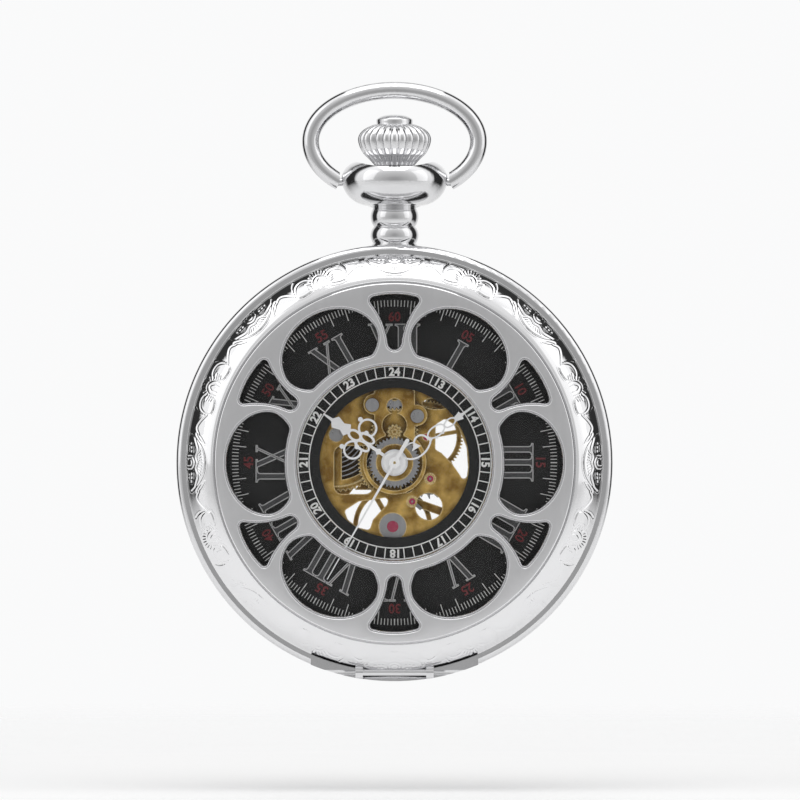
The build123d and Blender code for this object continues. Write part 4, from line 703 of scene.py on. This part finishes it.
hour_fill = Print(INK * 0.5)
hour_line = Print(INK)
for hour, word in enumerate(["XII", "I", "II", "III", "IIII", "V", "VI", "VII", "VIII", "IX", "X", "XI"]):
    strokes, width = letter_strokes(word)
    turn = math.radians(30.0 * hour)
    for stroke in strokes:
        spots = (np.array(stroke) - (width / 2, 0.0)) * HOUR_TALL * (0.98, 1.0) + (0.0, HOUR_LOW)
        spots = spots[np.linalg.norm(spots - np.roll(spots, 1, axis=0), axis=1) > 1e-6]
        ahead = np.roll(spots, -1, axis=0) - spots
        ahead /= np.linalg.norm(ahead, axis=1)[:, None]
        square = np.column_stack([-ahead[:, 1], ahead[:, 0]])
        corner = square + np.roll(square, 1, axis=0)
        corner /= np.maximum(np.sum(corner * square, axis=1), 0.45)[:, None]
        swing = np.array([[math.cos(turn), -math.sin(turn)], [math.sin(turn), math.cos(turn)]])
        outer = (spots + corner * OUTLINE_HALF) @ swing
        inner = (spots - corner * OUTLINE_HALF) @ swing
        count = len(spots)
        faces = [(i, (i + 1) % count, count + (i + 1) % count, count + i) for i in range(count)]
        hour_line.add(np.vstack([outer, inner]), faces)
        hour_fill.add(spots @ swing, [list(range(count))])
hour_fill.finish("hour_fill", ink("slate_ink", (0.05, 0.051, 0.053), (0.085, 0.086, 0.088)))
hour_line.finish("hour_outline", ink("silver_ink", (0.42, 0.42, 0.42), (0.58, 0.58, 0.58)))

# ------------------------------------------------------------------ hands
# Stamped and pierced brass, silvered to a soft white; pushed on their posts.
silvered, shader, wire = finish("silvered_white", Metallic=0.25, Specular_IOR_Level=0.6)
dust = wire.grain(3500.0, 3.0)
feed(
    shader,
    Base_Color=wire.mix(dust, (0.86, 0.86, 0.87, 1.0), (0.95, 0.95, 0.95, 1.0)),
    Roughness=0.28 + 0.1 * dust,
    Normal=wire.bump(dust, 0.000002),
)
dress(silvered, "hour_hand", "minute_hand", "seconds_hand")
chamfer(0.03, "hour_hand", "minute_hand", "seconds_hand")

# ------------------------------------------------------------------ studio
# A pale floor with the watch held 12 mm above it, and soft light from large panels.
FLOOR_R = 0.26
FLOOR_LEVEL = -0.0353
floor_mesh = bpy.data.meshes.new("floor")
sheet = bmesh.new()
bmesh.ops.create_circle(sheet, cap_ends=True, segments=96, radius=FLOOR_R)
sheet.to_mesh(floor_mesh)
sheet.free()
floor = bpy.data.objects.new("floor", floor_mesh)
floor.location = (0.0, 0.0, FLOOR_LEVEL)
bpy.context.scene.collection.objects.link(floor)
paper, shader, wire = finish("floor_paper", Roughness=0.9, Specular_IOR_Level=0.0, Emission_Strength=0.22)
place = wire.node("ShaderNodeTexCoord", output="Object")
reach = wire.node("ShaderNodeVectorMath", {"operation": "LENGTH"}, {0: place}, 1)
fall = wire.node("ShaderNodeMapRange", None, {0: reach, 1: 0.09, 2: 0.25, 3: 1.0, 4: 0.0})
feed(
    shader,
    Base_Color=wire.mix(wire.grain(40.0), (0.78, 0.78, 0.78, 1.0), (0.80, 0.80, 0.80, 1.0)),
    Alpha=fall,
    Emission_Color=wire.mix(wire.grain(40.0), (0.94, 0.945, 0.95, 1.0), (0.96, 0.965, 0.97, 1.0)),
)
floor_mesh.materials.append(paper)

studio = bpy.data.worlds.new("studio")
studio.use_nodes = True
bpy.context.scene.world = studio
sky = studio.node_tree.nodes["Background"]
wire = Wire(studio.node_tree)
aim = wire.node("ShaderNodeTexCoord", output="Generated")
toward = wire.node("ShaderNodeSeparateXYZ", None, {0: aim}, 1)
up = wire.node("ShaderNodeSeparateXYZ", None, {0: aim}, 2)
# Behind the camera the room is darker, so flat polished faces read as grey steel.
ROOM_GREYS = [
    (0.0, 0.42), (0.03, 0.52), (0.18, 0.70), (0.36, 1.0), (0.50, 1.0), (0.57, 0.03), (0.80, 0.03),
    (0.88, 0.75), (1.0, 1.0),
]
room = wire.node(
    "ShaderNodeValToRGB",
    {"stops": [(place, (grey,) * 3) for place, grey in ROOM_GREYS]},
    {"Fac": toward * 0.5 + 0.5},
)
lift = wire.node("ShaderNodeMapRange", None, {0: up, 1: -1.0, 2: 1.0, 3: 0.7, 4: 1.25})
seen = wire.node("ShaderNodeLightPath", output="Is Camera Ray")
lit = wire.node("ShaderNodeVectorMath", {"operation": "SCALE"}, {0: room, "Scale": lift})
lit = wire.mix(seen, lit, (0.955, 0.957, 0.96, 1.0))
studio.node_tree.links.new(lit.socket, sky.inputs["Color"])
sky.inputs["Strength"].default_value = 1.0


def soft_panel(name, place, size, power):
    lamp = bpy.data.lights.new(name, "AREA")
    lamp.shape = "RECTANGLE"
    lamp.size, lamp.size_y = size
    lamp.energy = power
    panel = bpy.data.objects.new(name, lamp)
    panel.location = place
    panel.rotation_euler = (-Vector(place)).to_track_quat("-Z", "Y").to_euler()
    bpy.context.scene.collection.objects.link(panel)


soft_panel("top_panel", (0.0, -0.02, 0.45), (0.34, 0.6), 0.75)
soft_panel("left_panel", (-0.40, -0.25, 0.22), (0.25, 0.5), 0.16)
soft_panel("right_panel", (0.42, -0.22, 0.18), (0.25, 0.5), 0.12)

# The camera looks straight at the dial through a long lens.
SEEN_WIDTH = 0.0857
DISTANCE = 0.9
lens = bpy.data.cameras.new("camera")
lens.sensor_width = 36.0
lens.lens = lens.sensor_width * DISTANCE / SEEN_WIDTH
lens.clip_start = 0.01
camera = bpy.data.objects.new("camera", lens)
camera.location = (0.59 * MM, PLATE_FRONT - DISTANCE, 6.74 * MM)
camera.rotation_euler = (math.radians(90.0), 0.0, 0.0)
bpy.context.scene.collection.objects.link(camera)
bpy.context.scene.camera = camera
bpy.context.scene.view_settings.view_transform = "Standard"
